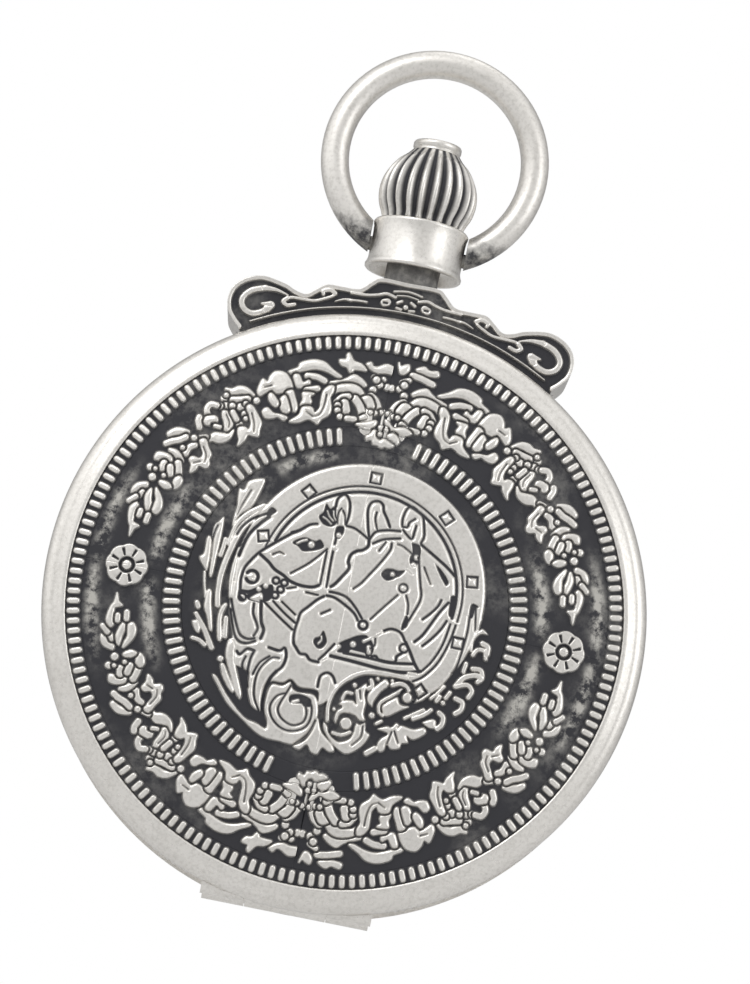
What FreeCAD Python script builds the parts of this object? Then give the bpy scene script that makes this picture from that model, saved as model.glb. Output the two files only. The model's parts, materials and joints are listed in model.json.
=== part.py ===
import FreeCAD, Part
import math
import os
import Sketcher

# Hunter pocket watch, in millimetres.
# X points to 3 o'clock, Z to the pendant at 12 o'clock, Y from the front cover to the back cover.
# The origin is the centre of the flat face in the middle of the back cover.

DIMENSIONS = {
    # case
    "case_radius": 25.0, "band_radius": 24.6, "band_bore": 22.2,
    "front_seam": -10.6, "back_seam": -2.4, "front_top": -14.0,
    "front_dome": 158.0, "back_dome": 184.0, "flat_depth": 0.1, "lid_wall": 0.7,
    "lid_bore": 22.4, "rim_fillet": 1.1, "back_fillet": 0.6,
    # lid hinges, at 6 o'clock
    "hinge_centre": -24.5, "knuckle_radius": 0.5, "knuckle_clearance": 0.56, "hinge_half": 7.1,
    "knuckle_half": 3.5, "pin_radius": 0.22, "pin_bore": 0.26, "leaf_top": -23.4, "end_gap": 0.05,
    "sweep_depth": 1.5,
    # pendant, bow and crown
    "stem_line": -6.4, "neck_radius": 2.3, "neck_bore": 1.15, "neck_foot": 22.4, "neck_top": 32.6,
    "collar_radius": 4.05, "collar_bore": 3.75, "collar_foot": 29.95, "collar_height": 4.15,
    "web_foot": 30.8, "web_height": 2.0, "pivot_height": 32.0, "pivot_radius": 0.6,
    "pivot_bore": 0.65, "pivot_inner": 2.7, "pivot_outer": 4.5, "bow_foot": 4.15,
    "bow_ring": 8.55, "bow_wire": 1.2, "bow_centre": 40.05,
    "crown_foot": 33.7, "crown_foot_radius": 3.25, "crown_flare": 35.25, "crown_flare_radius": 3.82,
    "crown_belly": 37.5, "crown_radius": 4.2, "crown_shoulder": 39.55, "crown_shoulder_radius": 3.55,
    "crown_top": 40.65, "crown_top_radius": 2.15,
    "cap_radius": 2.05, "cap_height": 0.95, "socket_radius": 2.7, "gasket_radius": 2.65,
    "stem_radius": 0.6, "stem_foot": 9.0, "stem_hole": 0.66, "waist_foot": 15.0, "waist_height": 1.6,
    "waist_radius": 0.35, "sleeve_radius": 1.08, "sleeve_bore": 0.66,
    "sleeve_foot": 24.4, "sleeve_top": 32.9, "gasket_top": 34.9, "gasket_foot": 33.8,
    "ornament_radius": 27.6, "ornament_angle": 27.6, "lobe_radius": 2.3, "lobe_x": 12.4, "lobe_z": 24.45,
    "ornament_front": -9.4, "ornament_depth": 6.2, "ornament_bore": 24.65, "plateau_half": 3.2,
    "plateau_top": 28.5,
    # lid catch and the two springs on the movement ring
    "catch_half": 2.0, "catch_foot": 21.2, "catch_top": 22.0, "catch_front": -11.5, "catch_back": -7.3,
    "catch_room": 20.35, "groove_bore": 20.95, "groove_depth": 1.2, "spring_outer": 21.7,
    "spring_inner": 21.3, "spring_gap": 0.05,
    # glass and dial
    "bezel_radius": 22.15, "bezel_bore": 19.2, "bezel_front": -11.3, "bezel_back": -8.85,
    "crystal_radius": 20.0, "crystal_front": -11.0, "crystal_back": -10.2,
    "dial_radius": 19.5, "dial_front": -8.8, "dial_back": -8.45, "dial_hole": 1.2, "seconds_hole": 0.6,
    "ring_radius": 22.15, "ring_bore": 18.35, "ring_back": -5.4,
    # movement
    "plate_radius": 18.3, "plate_front": -8.4, "plate_back": -6.7, "bridge_radius": 17.9,
    "foot_ring": 16.0, "bridge_front": -4.7, "bridge_back": -3.6, "bridge_split": -1.4,
    "train_split": -1.7, "jewel_radius": 0.7, "jewel_hole": 0.3, "jewel_front": -4.1,
    "motion_floor": -7.7, "hour_room": 4.3, "minute_room": 4.1, "minute_stud": 0.3, "stud_front": -8.2,
    "centre_hole": 0.45, "train_hole": 0.25, "small_hole": 0.2, "arbor_hole": 0.55, "arbor_room": 0.66,
    "window_half": 2.1, "window_foot": 9.0, "window_top": 14.7,
    "lever_low_x": 0.2, "lever_high_x": 7.7, "lever_floor": -7.85, "lever_low_z": 10.6, "lever_high_z": 17.2,
    "wheel_room": 3.05, "wheel_floor": -4.4, "teeth_front": -4.8, "teeth_back": -4.35, "teeth_foot": 13.1,
    "teeth_top": 14.5, "pinion_half": 2.2, "pinion_foot": 13.0, "pinion_top": 19.0,
    "balance_room": 5.7, "escape_room": 0.5, "cock_front": -4.2, "cock_thickness": 0.6, "cock_width": 2.4,
    "cock_end": 1.9, "cock_foot": 1.7,
    "barrel_x": -5.898, "barrel_z": 4.13, "third_x": 4.237, "third_z": -5.254, "seconds_z": -8.8,
    "escape_x": -4.14, "escape_z": -11.7, "pallet_x": -6.5, "pallet_z": -10.01,
    "balance_x": -9.3, "balance_z": -8.0, "balance_radius": 5.0, "cock_x": -16.0, "cock_z": -3.2,
    "crown_wheel_x": 0.0, "crown_wheel_z": 11.3, "minute_x": 2.4, "minute_z": 4.157,
    "screw_radius": 0.55, "screw_head": 0.95, "head_height": 0.4, "slot_half": 0.12, "slot_floor": 0.2,
    "rim_screw_x": -16.6, "rim_screw_z": 3.0, "click_screw_x": -9.6, "click_screw_z": 14.0,
    "right_screw_x": 15.6, "right_screw_z": 6.0, "train_screw_x": 16.2, "train_screw_z": -4.5,
    "low_screw_x": 2.0, "low_screw_z": -16.7,
    # winding and keyless works
    "ratchet_head": 1.5, "ratchet_head_front": -3.1, "ratchet_head_back": -2.8, "ratchet_slot": -2.95,
    "click_x": -13.24, "click_z": 6.1, "click_tip_x": -11.05, "click_tip_z": 7.1, "click_front": -3.55,
    "click_back": -3.2, "click_hub": 0.8, "click_width": 0.5,
    "click_spring_x": -13.9, "click_spring_z": 7.1, "click_spring_tip_x": -11.3, "click_spring_tip_z": 9.9,
    "click_spring_thickness": 0.3, "click_spring_width": 0.18,
    "keyless_front": -8.3, "keyless_back": -7.9, "lever_x": 5.0, "lever_z": 15.7, "lever_hub": 0.9,
    "lever_tip": 0.8, "yoke_x": 6.6, "yoke_z": 12.25, "yoke_hub": 0.8, "yoke_tip": 1.35, "yoke_half": 0.2,
    # escapement
    "fork_front": -6.05, "fork_back": -5.85, "fork_arbor": 0.15, "fork_arbor_front": -7.2,
    "fork_arbor_back": -5.6, "fork_cock_front": -5.55, "fork_cock_back": -5.3, "fork_cock_end": 0.7,
    "fork_cock_width": 1.0, "fork_cock_x": -8.36, "fork_cock_z": -12.61, "fork_hole_front": -5.8,
    "fork_hole_back": -5.5, "spring_plane": -4.6, "spring_height": 0.2, "coil_inner": 0.6,
    "coil_outer": 2.6, "coil_thickness": 0.06,
}

# Heights (Y) between the layers of each arbor or wheel, from the dial side to the back.
LEVELS = {
    "barrel": (-6.1, -5.7, -5.5, -4.95), "barrel_cover": (-4.95, -4.8), "mainspring": (-5.4, -5.05),
    "barrel_arbor": (-6.65, -6.1, -5.45, -5.0, -3.55),
    "centre_wheel": (-9.75, -6.45, -6.25, -5.4, -3.7), "third_wheel": (-7.2, -6.5, -6.05, -5.85, -3.7),
    "fourth_wheel": (-9.1, -6.15, -5.6, -5.4, -3.7), "escape_wheel": (-7.2, -6.2, -6.0, -5.25, -3.7),
    "cannon_pinion": (-9.75, -8.05, -7.75), "minute_wheel": (-8.3, -8.0, -7.8),
    "hour_wheel": (-9.4, -8.3, -8.1), "ratchet_wheel": (-3.55, -3.15),
    "crown_wheel": (-4.35, -4.15, -3.55, -3.15), "crown_wheel_core": (-4.4, -3.1, -2.9),
    "balance_wheel": (-7.2, -5.8, -5.6, -5.2, -4.8, -3.75),
    "hour_hand": (-9.35, -9.2), "minute_hand": (-9.7, -9.55), "seconds_hand": (-9.08, -8.92),
}

# Heights (Z) between the layers of the two pinions on the stem, from the foot up.
STEM_LEVELS = {"winding_pinion": (13.2, 14.4), "sliding_pinion": (11.6, 12.0, 12.5, 13.1)}

# Tooth counts and modules (mm of pitch diameter per tooth) of the gear pairs.
TEETH = {
    "barrel": 78, "centre_pinion": 12, "centre_wheel": 80, "third_pinion": 10, "third_wheel": 75,
    "fourth_pinion": 10, "fourth_wheel": 80, "escape_pinion": 8, "cannon": 12, "minute_wheel": 36,
    "minute_pinion": 10, "hour_wheel": 40, "ratchet": 48, "crown_wheel": 32, "winding_pinion": 24,
    "sliding_pinion": 14,
}
MODULE = {
    "barrel": 0.16, "centre": 0.15, "third": 0.13, "fourth": 0.115, "motion": 0.2, "hour": 0.192,
    "winding": 0.2321, "keyless": 0.155,
}

DOC = FreeCAD.newDocument("hunter_pocket_watch")
SHEET = DOC.addObject("Spreadsheet::Sheet", "sizes")
for piece, heights in (*LEVELS.items(), *STEM_LEVELS.items()):
    DIMENSIONS |= {f"{piece}_level{number}": height for number, height in enumerate(heights)}
for row, (alias, value) in enumerate(DIMENSIONS.items(), start=1):
    SHEET.set(f"A{row}", alias)
    SHEET.set(f"B{row}", str(value))
    SHEET.setAlias(f"B{row}", alias)
DOC.recompute()

NODES = []
ALONG_Y = FreeCAD.Rotation(FreeCAD.Vector(1, 0, 0), -90)
ALONG_X = FreeCAD.Rotation(FreeCAD.Vector(0, 1, 0), 90)
ALONG_Z = FreeCAD.Rotation()
ORIGIN = FreeCAD.Vector(0, 0, 0)


def size(alias):
    return float(SHEET.get(alias))


def bind(thing, **expressions):
    """Tie properties of an object to formulas in the sheet's aliases."""
    for name, formula in expressions.items():
        thing.setExpression(name, formula)
    return thing


def in_sheet(formula):
    """Write an alias formula with the sheet's name before each alias."""
    words = sorted(DIMENSIONS, key=len, reverse=True)
    text, position = "", 0
    while position < len(formula):
        match = next((word for word in words if formula.startswith(word, position)), None)
        text += f"sizes.{match}" if match else formula[position]
        position += len(match) if match else 1
    return text


def place(thing, rotation, x="0", y="0", z="0"):
    thing.Placement = FreeCAD.Placement(ORIGIN, rotation)
    for axis, formula in (("x", x), ("y", y), ("z", z)):
        thing.setExpression(f".Placement.Base.{axis}", f"({in_sheet(formula)}) * 1 mm")
    return thing


def rod(rotation, radius, length, x="0", y="0", z="0"):
    """A round bar whose lower end is at (x, y, z), along the axis that the rotation gives."""
    bar = DOC.addObject("Part::Cylinder", "rod")
    bind(bar, Radius=in_sheet(radius), Height=in_sheet(length))
    return place(bar, rotation, x, y, z)


def disc(radius, front, back, x="0", z="0"):
    """A round plate across the case axis, from its front face to its back face."""
    return rod(ALONG_Y, radius, f"({back}) - ({front})", x, front, z)


def block(x_low, x_high, y_low, y_high, z_low, z_high):
    box = DOC.addObject("Part::Box", "block")
    bind(
        box,
        Length=in_sheet(f"({x_high}) - ({x_low})"),
        Width=in_sheet(f"({y_high}) - ({y_low})"),
        Height=in_sheet(f"({z_high}) - ({z_low})"),
    )
    return place(box, ALONG_Z, x_low, y_low, z_low)


def ball(radius, x="0", y="0", z="0"):
    sphere = DOC.addObject("Part::Sphere", "ball")
    bind(sphere, Radius=in_sheet(radius))
    return place(sphere, ALONG_Z, x, y, z)


def fuse(*things):
    joined = DOC.addObject("Part::MultiFuse", "fuse")
    joined.Shapes = list(things)
    joined.Refine = True
    return joined


def cut(base, *tools):
    for tool in tools:
        result = DOC.addObject("Part::Cut", "cut")
        result.Base = base
        result.Tool = tool
        base = result
    return base


def common(*things):
    shared = DOC.addObject("Part::MultiCommon", "common")
    shared.Shapes = list(things)
    return shared


def node(label, thing):
    """Name a finished sub-part: the label is its file's name."""
    thing.Label = label
    NODES.append(thing)
    return thing


# ---- case ----------------------------------------------------------------------------------------


def round_edge(thing, radius, depth, fillet):
    """Round the circular edge of the given radius that lies at the given Y."""
    DOC.recompute()
    chosen = [
        number
        for number, edge in enumerate(thing.Shape.Edges, start=1)
        if isinstance(edge.Curve, Part.Circle)
        and abs(edge.Curve.Radius - radius) < 0.01
        and abs(edge.Curve.Center.y - depth) < 0.05
    ]
    rounded = DOC.addObject("Part::Fillet", "fillet")
    rounded.Base = thing
    rounded.Edges = [(number, fillet, fillet) for number in chosen]
    return rounded


def dome_drop(dome):
    """How far a dome of this radius falls from its top to the case's edge."""
    return dome - math.sqrt(dome**2 - size("case_radius") ** 2)


def knuckles(seam, side, spans):
    """Hinge knuckles with the leaves that join them to a rim; side is 1 towards the back."""
    parts = []
    for low, high in spans:
        parts.append(rod(ALONG_X, "knuckle_radius", f"({high}) - ({low})", low, seam, "hinge_centre"))
        front, back = (seam, f"{seam} + knuckle_radius") if side > 0 else (f"{seam} - knuckle_radius", seam)
        parts.append(block(low, high, front, back, "hinge_centre", "leaf_top"))
    return parts


def relief(seam, low, high):
    """Round clearance about the hinge line for the other leaf's knuckle."""
    return rod(ALONG_X, "knuckle_clearance", f"({high}) - ({low})", low, seam, "hinge_centre")


def lid_spans():
    return [("-hinge_half", "-knuckle_half"), ("knuckle_half", "hinge_half")]


def band_span():
    return [("-knuckle_half + end_gap", "knuckle_half - end_gap")]


def hinge_bore(seam):
    return rod(ALONG_X, "pin_bore", "2 * hinge_half + 1", "-hinge_half - 0.5", seam, "hinge_centre")


def hinge_pin(label, seam):
    node(label, rod(ALONG_X, "pin_radius", "2 * hinge_half", "-hinge_half", seam, "hinge_centre"))


def front_cover():
    rim = disc("case_radius", "front_top", "front_seam")
    blank = common(rim, ball("front_dome", y="front_top + front_dome"))
    edge_depth = size("front_top") + dome_drop(size("front_dome"))
    blank = round_edge(blank, size("case_radius"), edge_depth, size("rim_fillet"))
    hollow = common(
        disc("lid_bore", "front_top", "front_seam"),
        ball("front_dome - lid_wall", y="front_top + front_dome"),
    )
    shell = cut(blank, hollow, relief("front_seam", "-knuckle_half", "knuckle_half"))
    shell = fuse(shell, *knuckles("front_seam", -1, lid_spans()))
    node("front_cover", cut(shell, hinge_bore("front_seam")))


def back_cover():
    rim = disc("case_radius", "back_seam", "0")
    blank = common(rim, ball("back_dome", y="flat_depth - back_dome"))
    edge_depth = size("flat_depth") - dome_drop(size("back_dome"))
    blank = round_edge(blank, size("case_radius"), edge_depth, size("back_fillet"))
    hollow = common(
        disc("lid_bore", "back_seam", "0"),
        ball("back_dome - lid_wall", y="flat_depth - back_dome"),
    )
    shell = cut(blank, hollow, relief("back_seam", "-knuckle_half", "knuckle_half"))
    shell = fuse(shell, *knuckles("back_seam", 1, lid_spans()))
    node("back_cover", cut(shell, hinge_bore("back_seam")))


def sweep_room(front, back):
    """Room under a lid's edge, below the hinge line, where the edge turns as the lid opens."""
    return block("-hinge_half", "hinge_half", front, back, "-band_radius - 1", "hinge_centre + 0.05")


def case_band():
    ring = cut(
        disc("band_radius", "front_seam", "back_seam"),
        disc("band_bore", "front_seam", "back_seam"),
        sweep_room("front_seam", "front_seam + sweep_depth"),
        sweep_room("back_seam - sweep_depth", "back_seam"),
    )
    for seam in ("front_seam", "back_seam"):
        for low, high in lid_spans():
            ring = cut(ring, relief(seam, low, high))
    ring = fuse(
        ring,
        *knuckles("front_seam", 1, band_span()),
        *knuckles("back_seam", -1, band_span()),
    )
    neck_hole = rod(ALONG_Z, "neck_radius", "5", y="stem_line", z="neck_foot - 1")
    node("case_band", cut(ring, hinge_bore("front_seam"), hinge_bore("back_seam"), neck_hole))


def shoulder_ornament():
    """Curved bar on the case's shoulder with a round lobe at each end and a flat top under the neck."""
    sector = DOC.addObject("Part::Cylinder", "sector")
    bind(
        sector,
        Radius=in_sheet("ornament_radius"),
        Height=in_sheet("ornament_depth"),
        Angle=in_sheet("2 * ornament_angle"),
    )
    turn = FreeCAD.Rotation(FreeCAD.Vector(0, 0, 1), -90 - size("ornament_angle"))
    place(sector, ALONG_Y.multiply(turn), "0", "ornament_front", "0")
    back = "ornament_front + ornament_depth"
    lobes = [disc("lobe_radius", "ornament_front", back, sign + "lobe_x", "lobe_z") for sign in ("", "-")]
    plateau = block(
        "-plateau_half", "plateau_half", "ornament_front", back, "ornament_bore", "plateau_top"
    )
    inside = disc("ornament_bore", "ornament_front - 1", f"{back} + 1")
    neck = rod(ALONG_Z, "neck_radius", "10", y="stem_line", z="neck_foot")
    node("shoulder_ornament", cut(fuse(sector, *lobes, plateau), inside, neck))


# ---- pendant, bow and crown ----------------------------------------------------------------------


def pendant():
    tube = rod(ALONG_Z, "neck_radius", "neck_top - neck_foot", y="stem_line", z="neck_foot")
    bore = rod(ALONG_Z, "neck_bore", "neck_top - neck_foot + 2", y="stem_line", z="neck_foot - 1")
    node("pendant_neck", cut(tube, bore))

    band = rod(ALONG_Z, "collar_radius", "collar_height", y="stem_line", z="collar_foot")
    below = rod(ALONG_Z, "collar_bore", "web_foot - collar_foot + 1", y="stem_line", z="collar_foot - 1")
    above = rod(ALONG_Z, "collar_bore", "5", y="stem_line", z="web_foot + web_height")
    core = rod(ALONG_Z, "neck_radius", "collar_height + 2", y="stem_line", z="collar_foot - 1")
    pivots = rod(
        ALONG_X, "pivot_bore", "2 * collar_radius + 2", "-collar_radius - 1", "stem_line", "pivot_height"
    )
    node("bow_collar", cut(band, below, above, core, pivots))


def bow():
    """Round ring cut off flat on both sides of the collar, with a pivot pin out of each flat."""
    ring = DOC.addObject("Part::Torus", "ring")
    bind(ring, Radius1=in_sheet("bow_ring"), Radius2=in_sheet("bow_wire"))
    place(ring, ALONG_Y, "0", "stem_line", "bow_centre")
    opening = block(
        "-bow_foot", "bow_foot",
        "stem_line - 2 * bow_wire", "stem_line + 2 * bow_wire",
        "bow_centre - bow_ring - 2 * bow_wire", "bow_centre",
    )
    pins = [
        rod(ALONG_X, "pivot_radius", "pivot_outer - pivot_inner", start, "stem_line", "pivot_height")
        for start in ("pivot_inner", "-pivot_outer")
    ]
    node("bow_ring", fuse(cut(ring, opening), *pins))


def sketch_on(body, plane, offset=None):
    """A sketch on one of the body's own origin planes, moved along its normal by a formula."""
    sketch = body.newObject("Sketcher::SketchObject", "profile")
    feature = next(item for item in body.Origin.OriginFeatures if item.Role == plane)
    sketch.AttachmentSupport = [(feature, "")]
    sketch.MapMode = "FlatFace"
    if offset is not None:
        sketch.setExpression(".AttachmentOffset.Base.z", f"({in_sheet(offset)}) * 1 mm")
    return sketch


def crown():
    """Onion-shaped winding crown turned about the stem's line, with its socket for the gasket."""
    body = DOC.addObject("PartDesign::Body", "crown_body")
    sketch = sketch_on(body, "XZ_Plane")
    side = [
        FreeCAD.Vector(size(f"crown_{level}radius"), size(f"crown_{height}"), 0)
        for level, height in (
            ("foot_", "foot"), ("flare_", "flare"), ("", "belly"),
            ("shoulder_", "shoulder"), ("top_", "top"),
        )
    ]
    axis_top = FreeCAD.Vector(0, size("crown_top"), 0)
    axis_foot = FreeCAD.Vector(0, size("crown_foot"), 0)
    curve = Part.BSplineCurve()
    curve.interpolate(side)
    sketch.addGeometry(curve, False)
    sketch.addGeometry(Part.LineSegment(side[-1], axis_top), False)
    sketch.addGeometry(Part.LineSegment(axis_top, axis_foot), False)
    sketch.addGeometry(Part.LineSegment(axis_foot, side[0]), False)
    turned = body.newObject("PartDesign::Revolution", "turned")
    turned.Profile = sketch
    turned.ReferenceAxis = (sketch, ["V_Axis"])
    turned.Angle = 360.0
    body.Tip = turned
    place(body, ALONG_Z, "0", "stem_line", "0")
    socket_height = "gasket_top - crown_foot + 0.05"
    socket = rod(ALONG_Z, "socket_radius", socket_height, y="stem_line", z="crown_foot - 0.01")
    stem_hole = rod(ALONG_Z, "stem_radius", "crown_top - crown_foot + 1", y="stem_line", z="crown_foot")
    node("crown", cut(body, socket, stem_hole))
    cap = rod(ALONG_Z, "cap_radius", "cap_height", y="stem_line", z="crown_top")
    node("crown_cap", cap)


def stem():
    """Winding stem from the keyless works up into the crown, with a waist for the setting lever."""
    bar = rod(ALONG_Z, "stem_radius", "crown_top - stem_foot", y="stem_line", z="stem_foot")
    waist = cut(
        rod(ALONG_Z, "stem_radius + 0.2", "waist_height", y="stem_line", z="waist_foot"),
        rod(ALONG_Z, "waist_radius", "waist_height", y="stem_line", z="waist_foot"),
    )
    node("winding_stem", cut(bar, waist))
    sleeve = cut(
        rod(ALONG_Z, "sleeve_radius", "sleeve_top - sleeve_foot", y="stem_line", z="sleeve_foot"),
        rod(ALONG_Z, "sleeve_bore", "sleeve_top - sleeve_foot + 1", y="stem_line", z="sleeve_foot - 0.5"),
    )
    node("push_sleeve", sleeve)
    gasket = cut(
        rod(ALONG_Z, "gasket_radius", "gasket_top - gasket_foot", y="stem_line", z="gasket_foot"),
        rod(ALONG_Z, "sleeve_bore", "3", y="stem_line", z="gasket_foot - 1"),
    )
    node("crown_gasket", gasket)


def catch():
    """Lid catch: a plain block that stands in the bezel's notch at 12 o'clock."""
    nose = block("-catch_half", "catch_half", "catch_front", "catch_back", "catch_foot", "catch_top")
    node("lid_catch", nose)


# ---- glass and dial ------------------------------------------------------------------------------


def arc_strip(outer, inner, front, back, start, sweep):
    """Part of a ring; start is in degrees clockwise from 3 o'clock."""
    strip = DOC.addObject("Part::Cylinder", "strip")
    bind(strip, Radius=in_sheet(outer), Height=in_sheet(f"({back}) - ({front})"))
    strip.Angle = sweep
    turn = FreeCAD.Rotation(FreeCAD.Vector(0, 0, 1), start)
    place(strip, ALONG_Y.multiply(turn), "0", front, "0")
    return cut(strip, disc(inner, front, back))


def springs_and_ring():
    ring = cut(
        disc("ring_radius", "plate_front", "ring_back"),
        disc("ring_bore", "plate_front", "ring_back"),
        cut(
            disc("ring_radius + 1", "plate_front", "plate_front + groove_depth"),
            disc("groove_bore", "plate_front", "plate_front + groove_depth"),
        ),
        rod(ALONG_Z, "stem_hole", "10", y="stem_line", z="plate_radius - 2"),
        block(
            "-catch_half - 0.3", "catch_half + 0.3",
            "plate_front", "plate_front + groove_depth",
            "catch_room - 0.05", "ring_radius + 1",
        ),
    )
    node("movement_ring", ring)
    strip = ("spring_outer", "spring_inner", "plate_front + spring_gap", "catch_back")
    node("catch_spring", arc_strip(*strip, -80, 60))
    node("lift_spring", arc_strip(*strip, 110, 70))


def glass_and_dial():
    bezel = cut(
        disc("bezel_radius", "bezel_front", "bezel_back"),
        disc("bezel_bore", "bezel_front", "bezel_back"),
        disc("crystal_radius", "bezel_front", "crystal_back"),
        block(
            "-catch_half - 0.1", "catch_half + 0.1",
            "bezel_front - 1", "bezel_back",
            "catch_room + 0.05", "bezel_radius + 1",
        ),
    )
    node("bezel", bezel)
    node("crystal", disc("crystal_radius", "crystal_front", "crystal_back"))
    dial = cut(
        disc("dial_radius", "dial_front", "dial_back"),
        disc("dial_hole", "dial_front", "dial_back"),
        disc("seconds_hole", "dial_front", "dial_back", "0", "seconds_z"),
    )
    node("dial", dial)


# ---- wheels --------------------------------------------------------------------------------------


def tooth_outline(teeth, module, phase):
    """Corner points of a wheel's outline; the tooth at angle phase (radians) is centred there."""
    pitch = 2 * math.pi / teeth
    root, tip = module * (teeth / 2 - 1.2), module * (teeth / 2 + 0.8)
    corners = []
    for number in range(teeth):
        middle = phase + number * pitch
        for radius, part in ((root, -0.25), (tip, -0.11), (tip, 0.11), (root, 0.25)):
            angle = middle + part * pitch
            corners.append(FreeCAD.Vector(radius * math.cos(angle), radius * math.sin(angle), 0))
    return corners


def add_polygon(sketch, corners):
    closed = corners + corners[:1]
    lines = [Part.LineSegment(start, end) for start, end in zip(closed, closed[1:])]
    sketch.addGeometry(lines, False)


def add_circle(sketch, radius):
    sketch.addGeometry(Part.Circle(ORIGIN, FreeCAD.Vector(0, 0, 1), radius), False)


def add_windows(sketch, count, inner, outer, arm):
    """Openings between a wheel's arms, each with round inner and outer sides."""
    for number in range(count):
        middle = 2 * math.pi * number / count + 0.4
        half = math.pi / count
        near, far = half - math.asin(arm / inner), half - math.asin(arm / outer)
        normal = FreeCAD.Vector(0, 0, 1)
        low, high = Part.Circle(ORIGIN, normal, inner), Part.Circle(ORIGIN, normal, outer)
        inside = Part.ArcOfCircle(low, middle - near, middle + near)
        outside = Part.ArcOfCircle(high, middle - far, middle + far)
        ends = [
            Part.LineSegment(inside.StartPoint, outside.StartPoint),
            Part.LineSegment(inside.EndPoint, outside.EndPoint),
        ]
        sketch.addGeometry([inside, outside, *ends], False)


def add_pad(body, sketch, low, high):
    """A pad on a drawn sketch, as long as the way from one height to the other."""
    pad = body.newObject("PartDesign::Pad", "pad")
    pad.Profile = sketch
    pad.setExpression("Length", f"({in_sheet(high)} - ({in_sheet(low)})) * 1 mm")
    DOC.recompute()
    body.Tip = pad


def wheel_body(label, x, z, *layers):
    """A turned and toothed piece across the case; each layer is a function that draws on a sketch."""
    body = DOC.addObject("PartDesign::Body", label + "_body")
    for number, draw in enumerate(layers):
        front, back = f"{label}_level{number}", f"{label}_level{number + 1}"
        sketch = sketch_on(body, "XZ_Plane", f"-({back})")
        draw(sketch)
        add_pad(body, sketch, front, back)
    place(body, ALONG_Z, x, "0", z)
    return node(label, body)


def toothed(wheel, pair, phase=0.0, bore=0.0, windows=None):
    """Draws a wheel with the teeth of that name and the module of that gear pair."""
    def draw(sketch):
        add_polygon(sketch, tooth_outline(TEETH[wheel], MODULE[pair], phase))
        if bore:
            add_circle(sketch, bore)
        if windows:
            add_windows(sketch, *windows)

    return draw


def plain(radius, bore=0.0):
    """Draws a round layer."""
    def draw(sketch):
        add_circle(sketch, radius)
        if bore:
            add_circle(sketch, bore)

    return draw


def facing(x_from, z_from, x_to, z_to):
    """Direction in radians from one arbor to another."""
    return math.atan2(z_to - z_from, x_to - x_from)


def gap_phase(direction, teeth):
    """Phase that puts the middle of a tooth gap in this direction."""
    return direction + math.pi / teeth


def going_train():
    barrel = size("barrel_x"), size("barrel_z")
    third = size("third_x"), size("third_z")
    fourth = 0.0, size("seconds_z")
    escape = size("escape_x"), size("escape_z")
    to_barrel = facing(0, 0, *barrel)
    to_third = facing(0, 0, *third)
    wheel_body(
        "barrel", "barrel_x", "barrel_z",
        toothed("barrel", "barrel", gap_phase(to_barrel, 1), 0.65),
        plain(5.8, 0.65),
        plain(5.8, 5.45),
    )
    wheel_body("barrel_cover", "barrel_x", "barrel_z", plain(5.75, 0.65))
    wheel_body("mainspring", "barrel_x", "barrel_z", plain(5.35, 3.2))
    wheel_body("barrel_arbor", "barrel_x", "barrel_z", plain(0.5), plain(0.6), plain(1.8), plain(0.6))
    wheel_body(
        "centre_wheel", "0", "0",
        plain(0.4),
        toothed("centre_wheel", "centre", to_third, windows=(5, 1.7, 5.3, 0.35)),
        toothed("centre_pinion", "barrel", gap_phase(to_barrel, TEETH["centre_pinion"])),
        plain(0.22),
    )
    third_to_centre = facing(*third, 0, 0)
    third_to_fourth = facing(*third, *fourth)
    wheel_body(
        "third_wheel", "third_x", "third_z",
        plain(0.2),
        toothed("third_pinion", "centre", gap_phase(third_to_centre, TEETH["third_pinion"])),
        toothed("third_wheel", "third", third_to_fourth, windows=(5, 1.3, 4.2, 0.3)),
        plain(0.2),
    )
    fourth_to_third = facing(*fourth, *third)
    fourth_to_escape = facing(*fourth, *escape)
    wheel_body(
        "fourth_wheel", "0", "seconds_z",
        plain(0.2),
        toothed("fourth_pinion", "third", gap_phase(fourth_to_third, TEETH["fourth_pinion"])),
        toothed("fourth_wheel", "fourth", fourth_to_escape, windows=(5, 1.3, 3.9, 0.3)),
        plain(0.2),
    )
    escape_to_fourth = facing(*escape, *fourth)
    wheel_body(
        "escape_wheel", "escape_x", "escape_z",
        plain(0.15),
        escape_outline,
        toothed("escape_pinion", "fourth", gap_phase(escape_to_fourth, TEETH["escape_pinion"])),
        plain(0.15),
    )


def escape_outline(sketch):
    """Fifteen club teeth, raked forwards, with windows between four arms."""
    count, tip, root = 15, 2.5, 1.95
    pitch = 2 * math.pi / count
    corners = []
    for number in range(count):
        middle = number * pitch
        tooth = ((root, -0.32), (root, 0.02), (tip - 0.12, 0.34), (tip, 0.42), (tip - 0.1, 0.46))
        for radius, part in tooth:
            angle = middle + part * pitch
            corners.append(FreeCAD.Vector(radius * math.cos(angle), radius * math.sin(angle), 0))
    add_polygon(sketch, corners)
    add_windows(sketch, 4, 0.75, 1.6, 0.15)


def motion_work():
    """Cannon pinion, minute wheel and hour wheel under the dial."""
    to_minute = facing(0, 0, size("minute_x"), size("minute_z"))
    back_to_centre = to_minute + math.pi
    wheel_body(
        "cannon_pinion", "0", "0",
        plain(0.75, 0.42),
        toothed("cannon", "motion", gap_phase(to_minute, TEETH["cannon"]), 0.42),
    )
    wheel_body(
        "minute_wheel", "minute_x", "minute_z",
        toothed("minute_pinion", "hour", gap_phase(back_to_centre, TEETH["minute_pinion"]), 0.35),
        toothed("minute_wheel", "motion", back_to_centre, 0.35),
    )
    wheel_body(
        "hour_wheel", "0", "0",
        plain(1.05, 0.8),
        toothed("hour_wheel", "hour", to_minute, 0.8),
    )


# ---- plates and bridges --------------------------------------------------------------------------


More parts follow.
